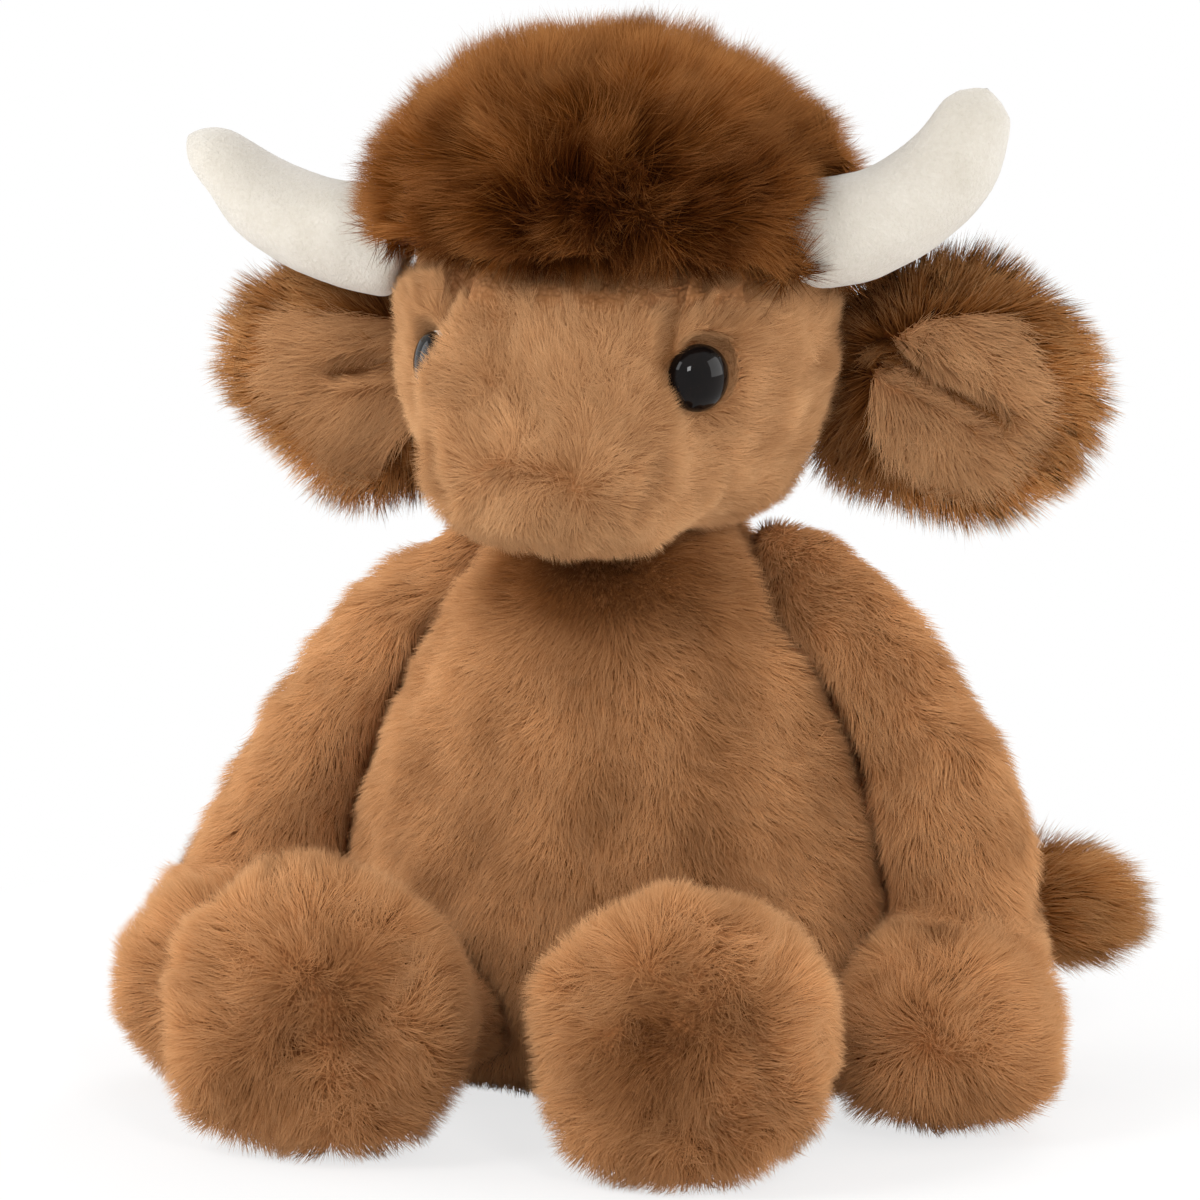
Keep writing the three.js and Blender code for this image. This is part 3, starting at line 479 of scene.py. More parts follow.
class Pile:
    """How the pile of one region grows, with lengths in millimetres.

    comb is the way that it is laid, and lean its degrees from the skin's normal at root and tip. dense is
    strands to a square millimetre, and bent the share that bends. The tips in a cell of the size clump are
    drawn together by pull. stray and turn are how far strands and locks leave the way. tone and shade run
    from 0, dark, to 1, light. trim is a share of the length, and fine is 1 where the pile is densest.
    """

    def __init__(self, length, width, comb, lean=(38, 70), dense=4.6, clump=2.2, pull=0.18, stray=0.2,
                 tone=0.66, trim=None, shade=None, fine=evenly, turn=0.2, bent=0.12):
        self.length, self.width, self.comb, self.lean = length, width, comb, lean
        self.dense, self.clump, self.pull, self.stray = dense, clump, pull, stray
        self.tone, self.trim, self.shade, self.fine = tone, trim, shade, fine
        self.turn, self.bent = turn, bent

    def paths(self, roots, normals, rng, points, seed):
        """The points of each strand, from root to tip."""
        way = self.comb(roots, normals)
        way = way - normals * (way * normals).sum(1, keepdims=True)
        laid = np.clip(np.linalg.norm(way, axis=1), 0, 1)
        for i, (strength, size) in enumerate((LOCKS, WISPS)):
            way = way + strength * self.turn * swirl(seed + i, size)(roots)
        way += self.stray * rng.normal(size=roots.shape)
        way = unit(way - normals * (way * normals).sum(1, keepdims=True))
        length = self.length * np.clip(rng.normal(1, 0.09, len(roots)), 0.6, 1.25)
        length *= 1 + LENGTHS[0] * waves(seed + 2, LENGTHS[1])(roots)
        if self.trim:
            length *= self.trim(roots, normals)
        lean = [math.radians(a) for a in self.lean]
        wobble = math.radians(5) * rng.normal(size=len(roots))
        wobble = wobble + LEANS[0] * waves(seed + 3, LEANS[1])(roots)
        upright = 0.2 + 0.8 * laid
        steps = points - 1
        path = np.empty((len(roots), points, 3))
        path[:, 0] = roots
        for i in range(steps):
            angle = ((lean[0] + (lean[1] - lean[0]) * (i + 0.5) / steps) * upright + wobble)[:, None]
            heading = normals * np.cos(angle) + way * np.sin(angle)
            path[:, i + 1] = path[:, i] + unit(heading) * (length / steps)[:, None]
        cells = np.floor((roots + 0.6 * self.clump * swirl(seed + 4, 9)(roots)) / self.clump).astype(int)
        _, group = np.unique(cells, axis=0, return_inverse=True)
        group = group.reshape(-1)
        members = np.bincount(group)
        tips = np.stack([np.bincount(group, path[:, -1, k]) / members for k in range(3)], 1)[group]
        pull = self.pull * rng.uniform(0.2, 1, len(roots)) ** 0.7
        for i in range(1, steps):
            bend = (i / steps) ** 1.5
            path[:, i] += (tips - path[:, -1]) * (pull * bend)[:, None]
        path[:, -1] += (tips - path[:, -1]) * pull[:, None]
        return path


def grow(name, form, kept, pile, body, look, seed, where=None):
    """Grows the pile on the kept triangles of a form, and there on the roots that where() takes."""
    rng = np.random.default_rng(seed)
    weights = form.areas * kept * pile.fine(form.centres, form.facing)
    area = weights.sum()
    wanted = int(area * pile.dense * share_drawn)
    bent = int(wanted * pile.bent)
    for kind, count in (("long", bent), ("short", wanted - bent)):
        points = POINTS[kind]
        pieces = max(1, math.ceil(count * triangles_each(points) / MOST_TRIANGLES))
        picks = rng.choice(len(weights), count, p=weights / area)
        a, b = rng.random((2, count))
        flip = a + b > 1
        a[flip], b[flip] = 1 - a[flip], 1 - b[flip]
        parts = np.stack([1 - a - b, a, b], 1)
        corners = form.tris[picks]
        roots = (form.co[corners] * parts[:, :, None]).sum(1)
        normals = unit((form.normals[corners] * parts[:, :, None]).sum(1))
        if where is not None:
            taken = where(roots + 0.5 * rng.normal(size=roots.shape))
            roots, normals, count = roots[taken], normals[taken], int(taken.sum())
        path = pile.paths(roots, normals, rng, points, seed)
        width = pile.width * rng.uniform(0.7, 1.25, count) * (1.0 if kind == "long" else 0.85)
        width /= np.sqrt(pile.fine(roots, normals))
        tones = pile.tone
        for i, (strength, size) in enumerate((PATCHES, FLECKS)):
            tones = tones + strength * waves(seed + 5 + i, size)(roots)
        if pile.shade:
            tones = tones + pile.shade(roots, normals)
        tones = tones + 0.07 * rng.normal(size=count)
        order = np.argsort(roots[:, 0] * 0.3 + roots[:, 2])
        for i, chunk in enumerate(np.array_split(order, pieces)):
            label = f"{name}_{kind}" + (f"_{i + 1}" if pieces > 1 else "")
            piece = strands(label, path[chunk], normals[chunk], width[chunk], tones[chunk])
            piece.data.materials.append(pile_materials[look])
            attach(piece, body)


# Ways to thin and to comb

UNDER = 0.3  # share of the pile on what rests on the floor


def front_fine(back, least):
    """Full density in front of a place along Y, the least behind it, and little under the toy."""

    def fine(points, normals):
        share = least + (1 - least) * ramp(back - points[:, 1], 0, 30)
        return share * np.where((normals[:, 2] < -0.75) & (points[:, 2] < 12), UNDER, 1)

    return fine


def laid(away, normals, soft):
    """The ways, laid on the skin: short and so upright near their start, and of length 1 far from it."""
    away = away - normals * (away * normals).sum(1, keepdims=True)
    return away / np.sqrt((away**2).sum(1, keepdims=True) + soft**2)


def parted(centre, soft):
    """Away from a centre, and upright near it."""
    return lambda points, normals: laid(points - np.array(centre), normals, soft)


def along(vector):
    """All one way."""
    return lambda points, normals: np.broadcast_to(np.array(vector, float), points.shape)


# Head

EYE_HEIGHT, EYE_RADIUS = 5.6, 8.2
EYE_SINK = {1: 0.5, -1: 2.3}  # the far eye is drawn deeper into its socket
EYE_DROP = {1: 0.0, -1: 1.6}  # and a little lower
eye_facing = {side: np.array([side * math.sin(EYE_TURN), -math.cos(EYE_TURN), 0]) for _, side in SIDES}
nose_way = {side: np.array([-side * math.cos(EYE_TURN), -math.sin(EYE_TURN), 0]) for _, side in SIDES}


def eye_centre(name, side):
    """The middle of an eye's back plane, on its rim."""
    co, _ = arrays(frame["nodes"][f"{name}_eye"].data, 1 / MM)
    facing = eye_facing[side]
    depth = co @ facing
    low, high = co.min(0), co.max(0)
    centre = (co - np.outer(depth, facing)).mean(0)
    centre[2] = (low[2] + high[2]) / 2
    return centre + facing * (depth.max() - EYE_HEIGHT)


eyes = {
    side: eye_centre(name, side) - eye_facing[side] * EYE_SINK[side] - np.array([0, 0, EYE_DROP[side]])
    for name, side in SIDES
}
PANEL_EDGE = 27  # half the width of the face's front panel
PART_HALF = np.array([10, 0, 0])  # half the length of the part in the face's pile
NOSE_RIDGE = {1: 7.2, -1: 10.4}  # how far the face stands out on the nose's side of each eye
RIDGE_PLACE = {1: 10.5, -1: 9.6}  # and how far from the eye's middle
CHEEK_HOLLOW = {1: 1.6, -1: 1.0}
WRINKLES = (  # of the left side: how deep, from where, to where, and how wide
    (0.8, (33, -60, 203), (46, -45, 199), 2.2),
    (0.6, (36, -56, 210), (49, -40, 203), 2.2),
    (0.6, (30, -64, 198), (26, -68, 190), 2.2),
    (0.6, (28.5, -72, 166), (25, -75, 154), 2.6),
)


def creases(points):
    """Up to 1 in the wrinkles of the brows and at the corners of the mouth, falling to 0 beside them."""
    found = np.zeros(len(points))
    for _, side in SIDES:
        mirror = np.array([side, 1, 1])
        for deep, start, end, width in WRINKLES:
            found += deep * line(points, start * mirror, end * mirror, width)
    return found


def panel_seam(points):
    """1 in the upper seams beside the face's front panel."""
    away = np.minimum(np.abs(points[:, 0] - PANEL_EDGE), np.abs(points[:, 0] + PANEL_EDGE))
    return np.exp(-((away / 1.7) ** 2)) * ramp(points[:, 2], 172, 196) * (points[:, 1] < -40)


def sculpt_head(co, normals):
    dent = np.zeros(len(co))
    for side, centre in eyes.items():
        facing, nose = eye_facing[side], nose_way[side]
        dent += 1.2 * near(co, centre + facing, 11.0)
        dent += 2.4 * near(co, centre - nose * 11 + facing * 3, (9, 9, 12))
        dent -= 1.6 * near(co, centre + np.array([side * 2, -2, 15]), (11, 9, 6))
        dent -= NOSE_RIDGE[side] * near(co, centre + nose * RIDGE_PLACE[side], (7, 8, 15))
        dent += CHEEK_HOLLOW[side] * near(co, (side * 36, -60, 166), (8, 10, 15))
        dent -= 3.2 * near(co, (side * 41, -22, 149), (12, 16, 10))
    dent += 4.0 * creases(co) + 3.6 * panel_seam(co)
    dent += 2.2 * line(co, MUZZLE_PART - PART_HALF, MUZZLE_PART + PART_HALF, 2.8)
    dent -= 1.2 * near(co, MUZZLE_PART + np.array([0, 0, -12]), (17, 12, 8))
    return co - normals * dent[:, None]


def face_comb(points, normals):
    way = laid(off_line(points, MUZZLE_PART - PART_HALF, MUZZLE_PART + PART_HALF), normals, 2.2)
    for side, centre in eyes.items():
        from_eye = unit(points - centre)
        outer = ramp(-(from_eye @ nose_way[side]), -0.2, 0.6)
        way = way + (1.6 * outer * near(points, centre, 14.0))[:, None] * from_eye
    return way


def face_trim(points, normals):
    trim = np.ones(len(points))
    for side, centre in eyes.items():
        offset = points - centre
        flat = offset - np.outer(offset @ eye_facing[side], eye_facing[side])
        distance = np.linalg.norm(flat, axis=1)
        front = (offset @ eye_facing[side]) > -8
        nose = ramp(unit(flat) @ nose_way[side], 0.0, 0.8)
        least = 0.42 + 0.55 * nose
        trim *= np.where(front, least + (1 - least) * ramp(distance, EYE_RADIUS, 16), 1)
    return trim * (1 - 0.35 * np.minimum(creases(points) + panel_seam(points), 1))


def face_tone_and_painted_shade(points, normals):
    # Painted shade in the wrinkles, in the seams beside the front panel and in the muzzle's part; also darker
    # over the brows, high up and toward the left side, and lighter on the chin.
    seams = np.minimum(creases(points) + panel_seam(points), 1)
    brows = sum(near(points, eyes[side] + np.array([side * 4, 0, 14]), (14, 14, 9)) for _, side in SIDES)
    part = line(points, MUZZLE_PART - 0.9 * PART_HALF, MUZZLE_PART + 0.9 * PART_HALF, 2.4)
    chin = near(points, MUZZLE_PART + np.array([0, 6, -24]), (26, 16, 12))
    high = 0.05 * ramp(points[:, 2], 168, 182) + 0.06 * ramp(points[:, 0], 30, 46)
    return 0.1 * chin - high - 0.5 * seams - 0.12 * brows - 0.22 * part


def clear_of_eyes(form):
    """Triangles that lie outside the two eyes."""
    kept = np.ones(len(form.tris), bool)
    for side, centre in eyes.items():
        offset = form.centres - centre
        depth = offset @ eye_facing[side]
        flat = np.linalg.norm(offset - np.outer(depth, eye_facing[side]), axis=1)
        kept &= ~((flat < EYE_RADIUS - 0.2) & (np.abs(depth) < 15))
    return kept


def sculpt_crown(co, normals):
    """Fuller at both sides, low down, and with a tuft above the left horn."""
    sides = ramp(np.abs(co[:, 0]), 24, 48) * (1 - ramp(co[:, 2], 226, 244)) * (1 - ramp(co[:, 1], 0, 20))
    made = co + np.outer(sides * np.sign(co[:, 0]), (3.6, 0, 0))
    return made + np.outer(near(co, (51, -20, 233), 7), (6.5, 0, 1.0))


# How far each cloth lies within its solids, which the pile fills out to their size
FACE_INSET, LONG_INSET, BODY_INSET, EAR_INSET = 3.2, 6.0, 2.6, 3.0
TAIL_INSET, TUFT_INSET, HORN_INSET = 1.5, 2.8, 0.2

head = Form(["head", "muzzle_panel"], FACE_INSET, seed=3, voxel=2.1, smooth=14, sculpt=sculpt_head)
crown = Form(["crown"], LONG_INSET, seed=4, voxel=3.0, smooth=8, sculpt=sculpt_crown)
torso = Form(["torso"], BODY_INSET, seed=5, voxel=3.0)

# Where a limb swells past its solid, or is drawn in: the place, the reach and how far
ARM_SWELLS = {
    "left": (
        ((29, -4, 140), (10, 15, 7), 8.4),
        ((47, -4, 136), (8, 15, 7), 0.6),
        ((90, -12, 94), (12, 30, 22), 4.2),
        ((115, -34, 11), (10, 18, 12), 5.6),
        ((66, -48, 8), (10, 12, 9), 4.5),
        ((118, -35, 40), (8, 18, 10), -2.8),
        ((90, -50, 2), (22, 12, 5), -3.0),
    ),
    "right": (
        ((-56, -8, 133), (14, 20, 10), -3.0),
        ((-90, -18, 92), (14, 30, 22), -2.4),
        ((-118, -40, 28), (8, 18, 12), -0.4),
        ((-112, -22, 48), (9, 18, 12), 3.4),
    ),
}
FOOT_SWELLS = {  # from the sole's middle
    "left": (((-23, 2, -29), (17, 22, 14), 5.0), ((-33, 6, 4), (10, 18, 20), 3.0)),
    "right": (
        ((-27, 2, -26), (15, 22, 14), 4.0),
        ((28, 4, -27), (15, 22, 14), 3.4),
        ((33, 26, 6), (12, 22, 26), 6.0),
    ),
}


def swollen(swells, origin=(0, 0, 0)):
    """Moves a skin outward at the swells, whose places are from the origin."""

    def sculpt(co, normals):
        heights = [height * near(co, origin + np.array(place), reach) for place, reach, height in swells]
        return co + normals * sum(heights)[:, None]

    return sculpt


def sculpt_arm(name, side):
    return swollen(ARM_SWELLS[name])


def sculpt_leg(name, side):
    return swollen(FOOT_SWELLS[name], middle(f"{name}_sole_panel"))


def both_sides(parts, inset, seed, sculpt, **settings):
    """The left and the right form made from these parts."""
    forms = {}
    for name, side in SIDES:
        solids = [f"{name}_{part}" for part in parts]
        forms[name] = Form(solids, inset, seed=seed + side, sculpt=sculpt(name, side), **settings)
    return forms


arms = both_sides(["arm", "paw_panel"], BODY_INSET, 6, sculpt_arm)
legs = both_sides(["leg", "sole_panel"], BODY_INSET, 9, sculpt_leg, smooth=10)


# On an ear, in its half sizes: outward from the head, and up
EAR_CREASE = {"left": ((-0.6, 0.19), (0.18, -0.2)), "right": ((-0.42, 0.17), (0.0, 0.06))}
EAR_FOLD = {"left": 5.6, "right": 3.6}  # how deep the crease is
EAR_TONE = {"left": 0.76, "right": 0.5}
EAR_LINING = {"left": ((0.08, -0.12), (0.88, 0.66)), "right": ((0.16, -0.14), (1.0, 0.86))}
# The right ear's back is folded over the lining's top, and its long pile hides the lining beside the head
FOLD_EDGE, FOLD_TURN, FOLD_SLOPE = 0.47, 0.62, 0.9  # how high, from where it slopes, and how much
HIDDEN_PLACE, HIDDEN_REACH = np.array([-0.95, -0.85]), 0.66
# Where an ear's edge is moved: the place in its half sizes, the reach, and how far out and up, in millimetres
EAR_MOVES = {
    "left": (
        ((-0.9, -0.55), 0.45, (-10.0, 0.0)),
        ((-0.95, 0.5), 0.35, (-5.0, 0.0)),
        ((-0.15, 0.95), 0.3, (0.0, 0.8)),
        ((0.45, 0.85), 0.4, (0.0, -3.4)),
        ((0.8, 0.3), 0.6, (-2.2, -1.0)),
        ((0.0, -0.95), 0.5, (0.0, -0.8)),
        ((-0.95, 0.0), 0.4, (-3.5, 0.0)),
    ),
    "right": (
        ((0.6, -0.7), 0.5, (-3.8, 5.4)),
        ((0.85, 0.3), 0.45, (1.8, 0.0)),
        ((0.4, 0.8), 0.5, (0.0, -2.2)),
        ((-0.3, -0.9), 0.5, (0.0, 0.8)),
        ((-0.95, -0.45), 0.45, (-4.5, 0.0)),
        ((-0.95, 0.45), 0.45, (-4.5, 0.0)),
    ),
}


def ear_flat(name, side, points):
    """Where points lie on an ear, in its half sizes."""
    low, high = box(f"{name}_ear_back")
    flat = (points - (low + high) / 2) / ((high - low) / 2)
    return np.stack([side * flat[:, 0], flat[:, 2]], 1)


def ear_point(name, side, out, up):
    """The point on an ear's middle plane that is out and up in its half sizes."""
    low, high = box(f"{name}_ear_back")
    return (low + high) / 2 + np.array([side * out, 0, up]) * (high - low) / 2


def on_lining(name, side, points):
    """True on the front of an ear, within the outline of its lining."""
    centre, half = (np.array(v) for v in EAR_LINING[name])
    flat = ear_flat(name, side, points)
    front = points[:, 1] < middle(f"{name}_ear_lining")[1] + 2.5
    lining = ((np.abs((flat - centre) / half) ** 2.4).sum(1) < 1) & front
    if name == "right":
        lining &= flat[:, 1] <= FOLD_EDGE - FOLD_SLOPE * np.maximum(flat[:, 0] - FOLD_TURN, 0)
        lining &= np.linalg.norm(flat - HIDDEN_PLACE, axis=1) >= HIDDEN_REACH
    return lining


def faces_back(form, points):
    """True where the nearest face of a form looks to the toy's back."""
    return np.array([form.tree.find_nearest(Vector(p))[1].y > 0.1 for p in points])


def sculpt_ear(name, side):
    """Presses the crease into an ear and moves its edge."""

    def sculpt(co, normals):
        flat = ear_flat(name, side, co)
        front = ramp(-normals[:, 1], 0.0, 0.6)
        dent = EAR_FOLD[name] * line(flat, *EAR_CREASE[name], 0.07)
        if name == "left":
            dent -= 1.6 * line(flat, (-0.2, 0.3), (0.4, 0.05), 0.2)
        made = co - normals * (dent * front)[:, None]
        for place, reach, (out, up) in EAR_MOVES[name]:
            made += near(flat, place, reach)[:, None] * np.array([side * out, 0, up])
        return made

    return sculpt


ears = both_sides(["ear_back", "ear_lining"], EAR_INSET, 12, sculpt_ear, voxel=1.3, lumps=0.4)

TUFT_MOVE = np.array([-2.6, 0, -0.2])


def move_tuft(co, normals):
    return co + TUFT_MOVE


tail = Form(["tail"], TAIL_INSET, seed=15, voxel=1.8, smooth=6, lumps=0.3)
tuft = Form(["tail_tuft"], TUFT_INSET, seed=16, voxel=1.8, smooth=6, sculpt=move_tuft, lumps=0.3)

# Where a horn is bent or filled out: the place, the reach and the move
HORN_MOVES = {
    "left": (
        ((84, -25, 234), 22, (-1.8, 0, 1.0)),
        ((86, -20, 250), 8, (-1.8, 0, 3.0)),
        ((99, -19, 248), 7, (1.6, 0, 0.8)),
        ((96, -25, 222), 10, (1.2, 0, -1.2)),
    ),
    "right": (
        ((-107, -20, 212), 10, (4.6, 0, 1.4)),
        ((-103, -18, 230), 8, (0, 0, 2.4)),
        ((-80, -25, 222), 14, (0, 0, -1.2)),
    ),
}


def sculpt_horn(name, side):
    """Bends a horn and fills it out."""

    def sculpt(co, normals):
        for place, reach, move in HORN_MOVES[name]:
            co = co + near(co, place, reach)[:, None] * np.array(move)
        return co + normals * HORN_INSET

    return sculpt


horns = both_sides(["horn"], HORN_INSET, 17, sculpt_horn, voxel=1.6, smooth=14, lumps=0.35, relax=16)


# Cloth and pile of the head

SEAM_LEAN, SEAM_DEPTH = math.radians(33), 9  # of the muzzle panel's seam, behind the panel's front


def on_muzzle(points):
    """True on the muzzle panel's side of its seam."""
    forward = box("muzzle_panel")[0][1] - points[:, 1]
    lower = middle("muzzle_panel")[2] - points[:, 2]
    return forward * math.cos(SEAM_LEAN) + lower * math.sin(SEAM_LEAN) > -SEAM_DEPTH


def crown_comb(points, normals):
    way = parted(CROWN_PART, 16.0)(points, normals)
    way[:, 2] = np.where(way[:, 2] < 0, way[:, 2] * 0.35, way[:, 2])
    return way


def crown_trim(points, normals):
    return 0.4 + 0.6 * np.maximum(ramp(points[:, 2], 206, 228), 0.7 * ramp(np.abs(points[:, 0]), 32, 48))


def crown_tone_and_painted_light(points, normals):
    # Darker about the parting, partly the forelock's own colour and partly painted shade where the pile
    # opens; lighter along the top as painted rim light.
    dark = 0.36 * near(points, CROWN_PART, (42, 40, 24))
    return 0.18 * ramp(points[:, 2], 226, 252) - dark


head.skin("face_cloth", "head", "face_fur", ["head"], beyond(on_muzzle))
head.skin("muzzle_cloth", "head", "face_fur", ["muzzle_panel"], on_muzzle)
crown.skin("crown_cloth", "head", "long_fur", ["crown"])
torso.skin("torso_cloth", "torso", "body_fur", ["torso"])

face_pile = Pile(
    5.4, 0.08, face_comb, lean=(42, 70), dense=8.0, clump=1.8, pull=0.08, stray=0.3, turn=0.3,
    trim=face_trim, shade=face_tone_and_painted_shade, fine=front_fine(5, 0.45),
)
seen = head.uncovered([crown], 1.0) & head.uncovered([torso], 4.0) & clear_of_eyes(head)
grow("face_pile", head, seen, face_pile, "head", "face", seed=21)

crown_pile = Pile(
    14.0, 0.11, crown_comb, lean=(26, 54), dense=4.8, clump=2.6, pull=0.17, bent=0.2, stray=0.32,
    tone=0.38, trim=crown_trim, shade=crown_tone_and_painted_light, turn=0.4, fine=front_fine(20, 0.65),
)
seen = crown.uncovered([head], 3.0)
grow("crown_pile", crown, seen, crown_pile, "head", "long", seed=22)


# Pile of the body and the limbs

BODY_PILE = dict(lean=(42, 72), clump=1.9, pull=0.11, stray=0.26)
# Tone of each arm's pile, above the torso's; the right arm, on the key light's side, is painted lighter.
ARM_TONE_AND_PAINTED_LIGHT = {"left": 0.74, "right": 0.8}
# The darker middle of a sole is painted shade where its pile parts.
SOLE_PAINTED_SHADE = {"left": 0.5, "right": 0.24}  # how much darker the middle of a sole is


def torso_tone_and_painted_shade(points, normals):
    # Lighter low down; the dark patch on the chest is painted shade under the chin.
    low = ramp(-points[:, 2], -70, -20)
    return 0.36 * low - 0.94 * near(points, (0, -46, 134), (36, 26, 15))


torso_pile = Pile(
    6.8, 0.09, parted(CHEST_PART, 9.0), dense=5.2, shade=torso_tone_and_painted_shade, fine=front_fine(20, 0.5),
    turn=0.18, **BODY_PILE,
)
seen = torso.uncovered([head, *arms.values(), *legs.values()], 3.0)
grow("torso_pile", torso, seen, torso_pile, "torso", "body", seed=23)


def cover_arm(name, side):
    arm, body = arms[name], f"{name}_arm"
    paw = middle(f"{name}_paw_panel")
    seam = box(f"{name}_paw_panel")[1][1]
    down = np.array([paw[0], paw[1] + 25, 20]) - pivot(f"{name}_arm_lift")

    def on_paw(points):
        return (points[:, 1] < seam) & (points[:, 2] < 60)

    def comb(points, normals):
        low = ramp(-points[:, 2], -58, -34)[:, None]
        high = ramp(points[:, 2], 104, 134)[:, None]
        outward = unit(down + high * np.array([70 * side, 0, 0]))
        return outward * (1 - low) + parted(paw, 6.0)(points, normals) * low

    def trim(points, normals):
        return 1 - 0.45 * ramp(points[:, 2], 120, 136) - 0.25 * near(points, (side * 27, -4, 142), (9, 14, 7))

    arm.skin(f"{body}_cloth", body, "body_fur", [body], beyond(on_paw))
    arm.skin(f"{name}_paw_cloth", body, "sole_fur", [f"{name}_paw_panel"], on_paw)
    seen = arm.uncovered([torso, legs[name]], 2.5)
    fine = front_fine(10, 0.6)
    pile = Pile(6.8, 0.09, comb, tone=ARM_TONE_AND_PAINTED_LIGHT[name], fine=fine, trim=trim, turn=0.26, **BODY_PILE)
    grow(f"{body}_pile", arm, seen, pile, body, "body", seed=30 + side)


def cover_leg(name, side):
    leg, body = legs[name], f"{name}_leg"
    sole = middle(f"{name}_sole_panel")
    seam = box(f"{name}_sole_panel")[1][1]

    def on_sole(points):
        return points[:, 1] < seam

    def comb(points, normals):
        front = ramp(-points[:, 1], 92, 112)[:, None]
        out = parted(sole, 14.0)(points, normals)
        return np.array([0, 0.9, -0.3]) * (1 - front) + out * front

    def shade(points, normals):
        # Painted light and shade: the sole's middle darker where its pile parts, a lighter halo at its rim as
        # painted rim light (on the right foot only on the outer side), the right leg's inner side lighter as
        # painted light where the left leg shades it, and the front a little lighter.
        flat = np.linalg.norm((points - sole)[:, [0, 2]], axis=1)
        front = ramp(-points[:, 1], 84, 100)
        inner = side * (sole[0] - points[:, 0])
        painted_rim_light = 0.2 * ramp(flat, 20, 34) * (1 if side > 0 else 1 - ramp(inner, 4, 24))
        painted_inner_light = 0.2 * (1 - front) * ramp(inner, 0, 20) if side < 0 else 0
        dark = SOLE_PAINTED_SHADE[name] * near(points, sole + np.array([0, -6, 2]), 24)
        return front * (0.02 + painted_rim_light - dark) + painted_inner_light

    leg.skin(f"{body}_cloth", body, "body_fur", [body], beyond(on_sole))
    leg.skin(f"{name}_sole_cloth", body, "sole_fur", [f"{name}_sole_panel"], on_sole)
    seen = leg.uncovered([torso, arms[name]], 2.5)
    pile = Pile(
        7.0, 0.09, comb, lean=(36, 66), clump=1.9, pull=0.11, stray=0.3, turn=0.4, shade=shade,
        fine=front_fine(-60, 0.75),
    )
    grow(f"{body}_pile", leg, seen, pile, body, "body", seed=40 + side)


def rim_fine(points, normals):
    return 0.6 + 0.4 * ramp(1 - np.abs(normals[:, 1]), 0.1, 0.5)


def cover_ear(name, side):
    ear, body = ears[name], f"{name}_ear"
    root = ear_point(name, side, -1.0, 0.5)
    heart = ear_point(name, side, -0.6, 0.1)
    start, end = (np.array(v) for v in EAR_CREASE[name])

    def inside(points):
        return on_lining(name, side, points) & ~faces_back(ear, points)

    def inner_tone_and_painted_shade(points, normals):
        # Painted shade along the crease, deepest in its outer half, and lighter outward.
        flat = ear_flat(name, side, points)
        dark = 0.3 * line(flat, start, end, 0.06) + 0.5 * line(flat, (start + end) / 2, end, 0.06)
        return 0.1 * ramp(flat[:, 0], 0, 0.8) - dark

    def inner_trim(points, normals):
        return 1 - 0.62 * line(ear_flat(name, side, points), start, end, 0.11)

    def rim_tone_and_painted_light(points, normals):
        # Lighter outward and low down, partly the pile's golden tips and partly painted rim light; the left
        # ear's tip is lighter, the right ear's tip and top darker.
        flat = ear_flat(name, side, points)
        low = 0.5 * ramp(-flat[:, 1], 0.3, 0.9)
        tip = (0.26 if side > 0 else -0.1) * ramp(flat[:, 0], 0.4, 0.95)
        top = 0.2 * ramp(flat[:, 1], 0.3, 0.7) if side < 0 else 0
        return 0.5 * ramp(flat[:, 0], -0.8, 0.6) + low + tip - top - 0.44

    ear.skin(f"{body}_cloth", body, "long_fur", [f"{body}_back"], beyond(inside))
    ear.skin(f"{body}_inner_cloth", body, "face_fur", [f"{body}_lining"], inside)
    seen = ear.uncovered([head, crown], 1.5)
    inner_pile = Pile(
        8.5, 0.09, parted(root, 6.0), tone=EAR_TONE[name], stray=0.28, clump=2.0, pull=0.12,
        shade=inner_tone_and_painted_shade, trim=inner_trim,
    )
    rim_pile = Pile(
        10.0, 0.1, parted(heart, 10.0), lean=(40, 74), dense=7.2, clump=3.0, pull=0.12, bent=0.2,
        shade=rim_tone_and_painted_light, fine=rim_fine,
    )
    grow(
        f"{body}_inner_pile", ear, seen & (ear.facing[:, 1] < 0.4), inner_pile,
        body, "face", seed=50 + side, where=inside,
    )
    grow(
        f"{body}_pile", ear, seen, rim_pile,
        body, "rim", seed=60 + side, where=beyond(inside),
    )


for name, side in SIDES:
    cover_arm(name, side)
    cover_leg(name, side)
    cover_ear(name, side)

tail_pile = Pile(7.5, 0.1, along((1, 0, -0.1)))
tuft_pile = Pile(
    13.0, 0.1, along((1, 0, -0.05)), lean=(40, 76), dense=6.0, clump=3.0, pull=0.12, bent=0.25, tone=0.72
)
tail.skin("tail_cloth", "tail", "body_fur", ["tail"])
tuft.skin("tuft_cloth", "tail", "long_fur", ["tail_tuft"])
seen = tail.uncovered([torso, tuft], 1.0)
grow("tail_pile", tail, seen, tail_pile, "tail", "body", seed=70)
grow("tuft_pile", tuft, tuft.uncovered([], 1.0), tuft_pile, "tail", "rim", seed=71)


# Horns

for name, _ in SIDES:
    piece = horns[name].skin(f"{name}_horn_plush", "head", "horn_plush", [f"{name}_horn"])
    for polygon in piece.data.polygons:
        polygon.use_smooth = True


# Eyes

DOME_BASE = 0.8  # the height of the eye's straight rim
DOME_STEPS, DOME_RINGS = 48, 12


def eye_material():
    nodes = new_material("eye_gloss")
    depth = nodes.noise(nodes.place(), 150.0, 2.0)
    colour = nodes.colours(depth, [(0.3, (10, 8, 8)), (0.7, (20, 14, 12))])
    return nodes.finish(colour, Roughness=0.04, Specular_IOR_Level=0.13)


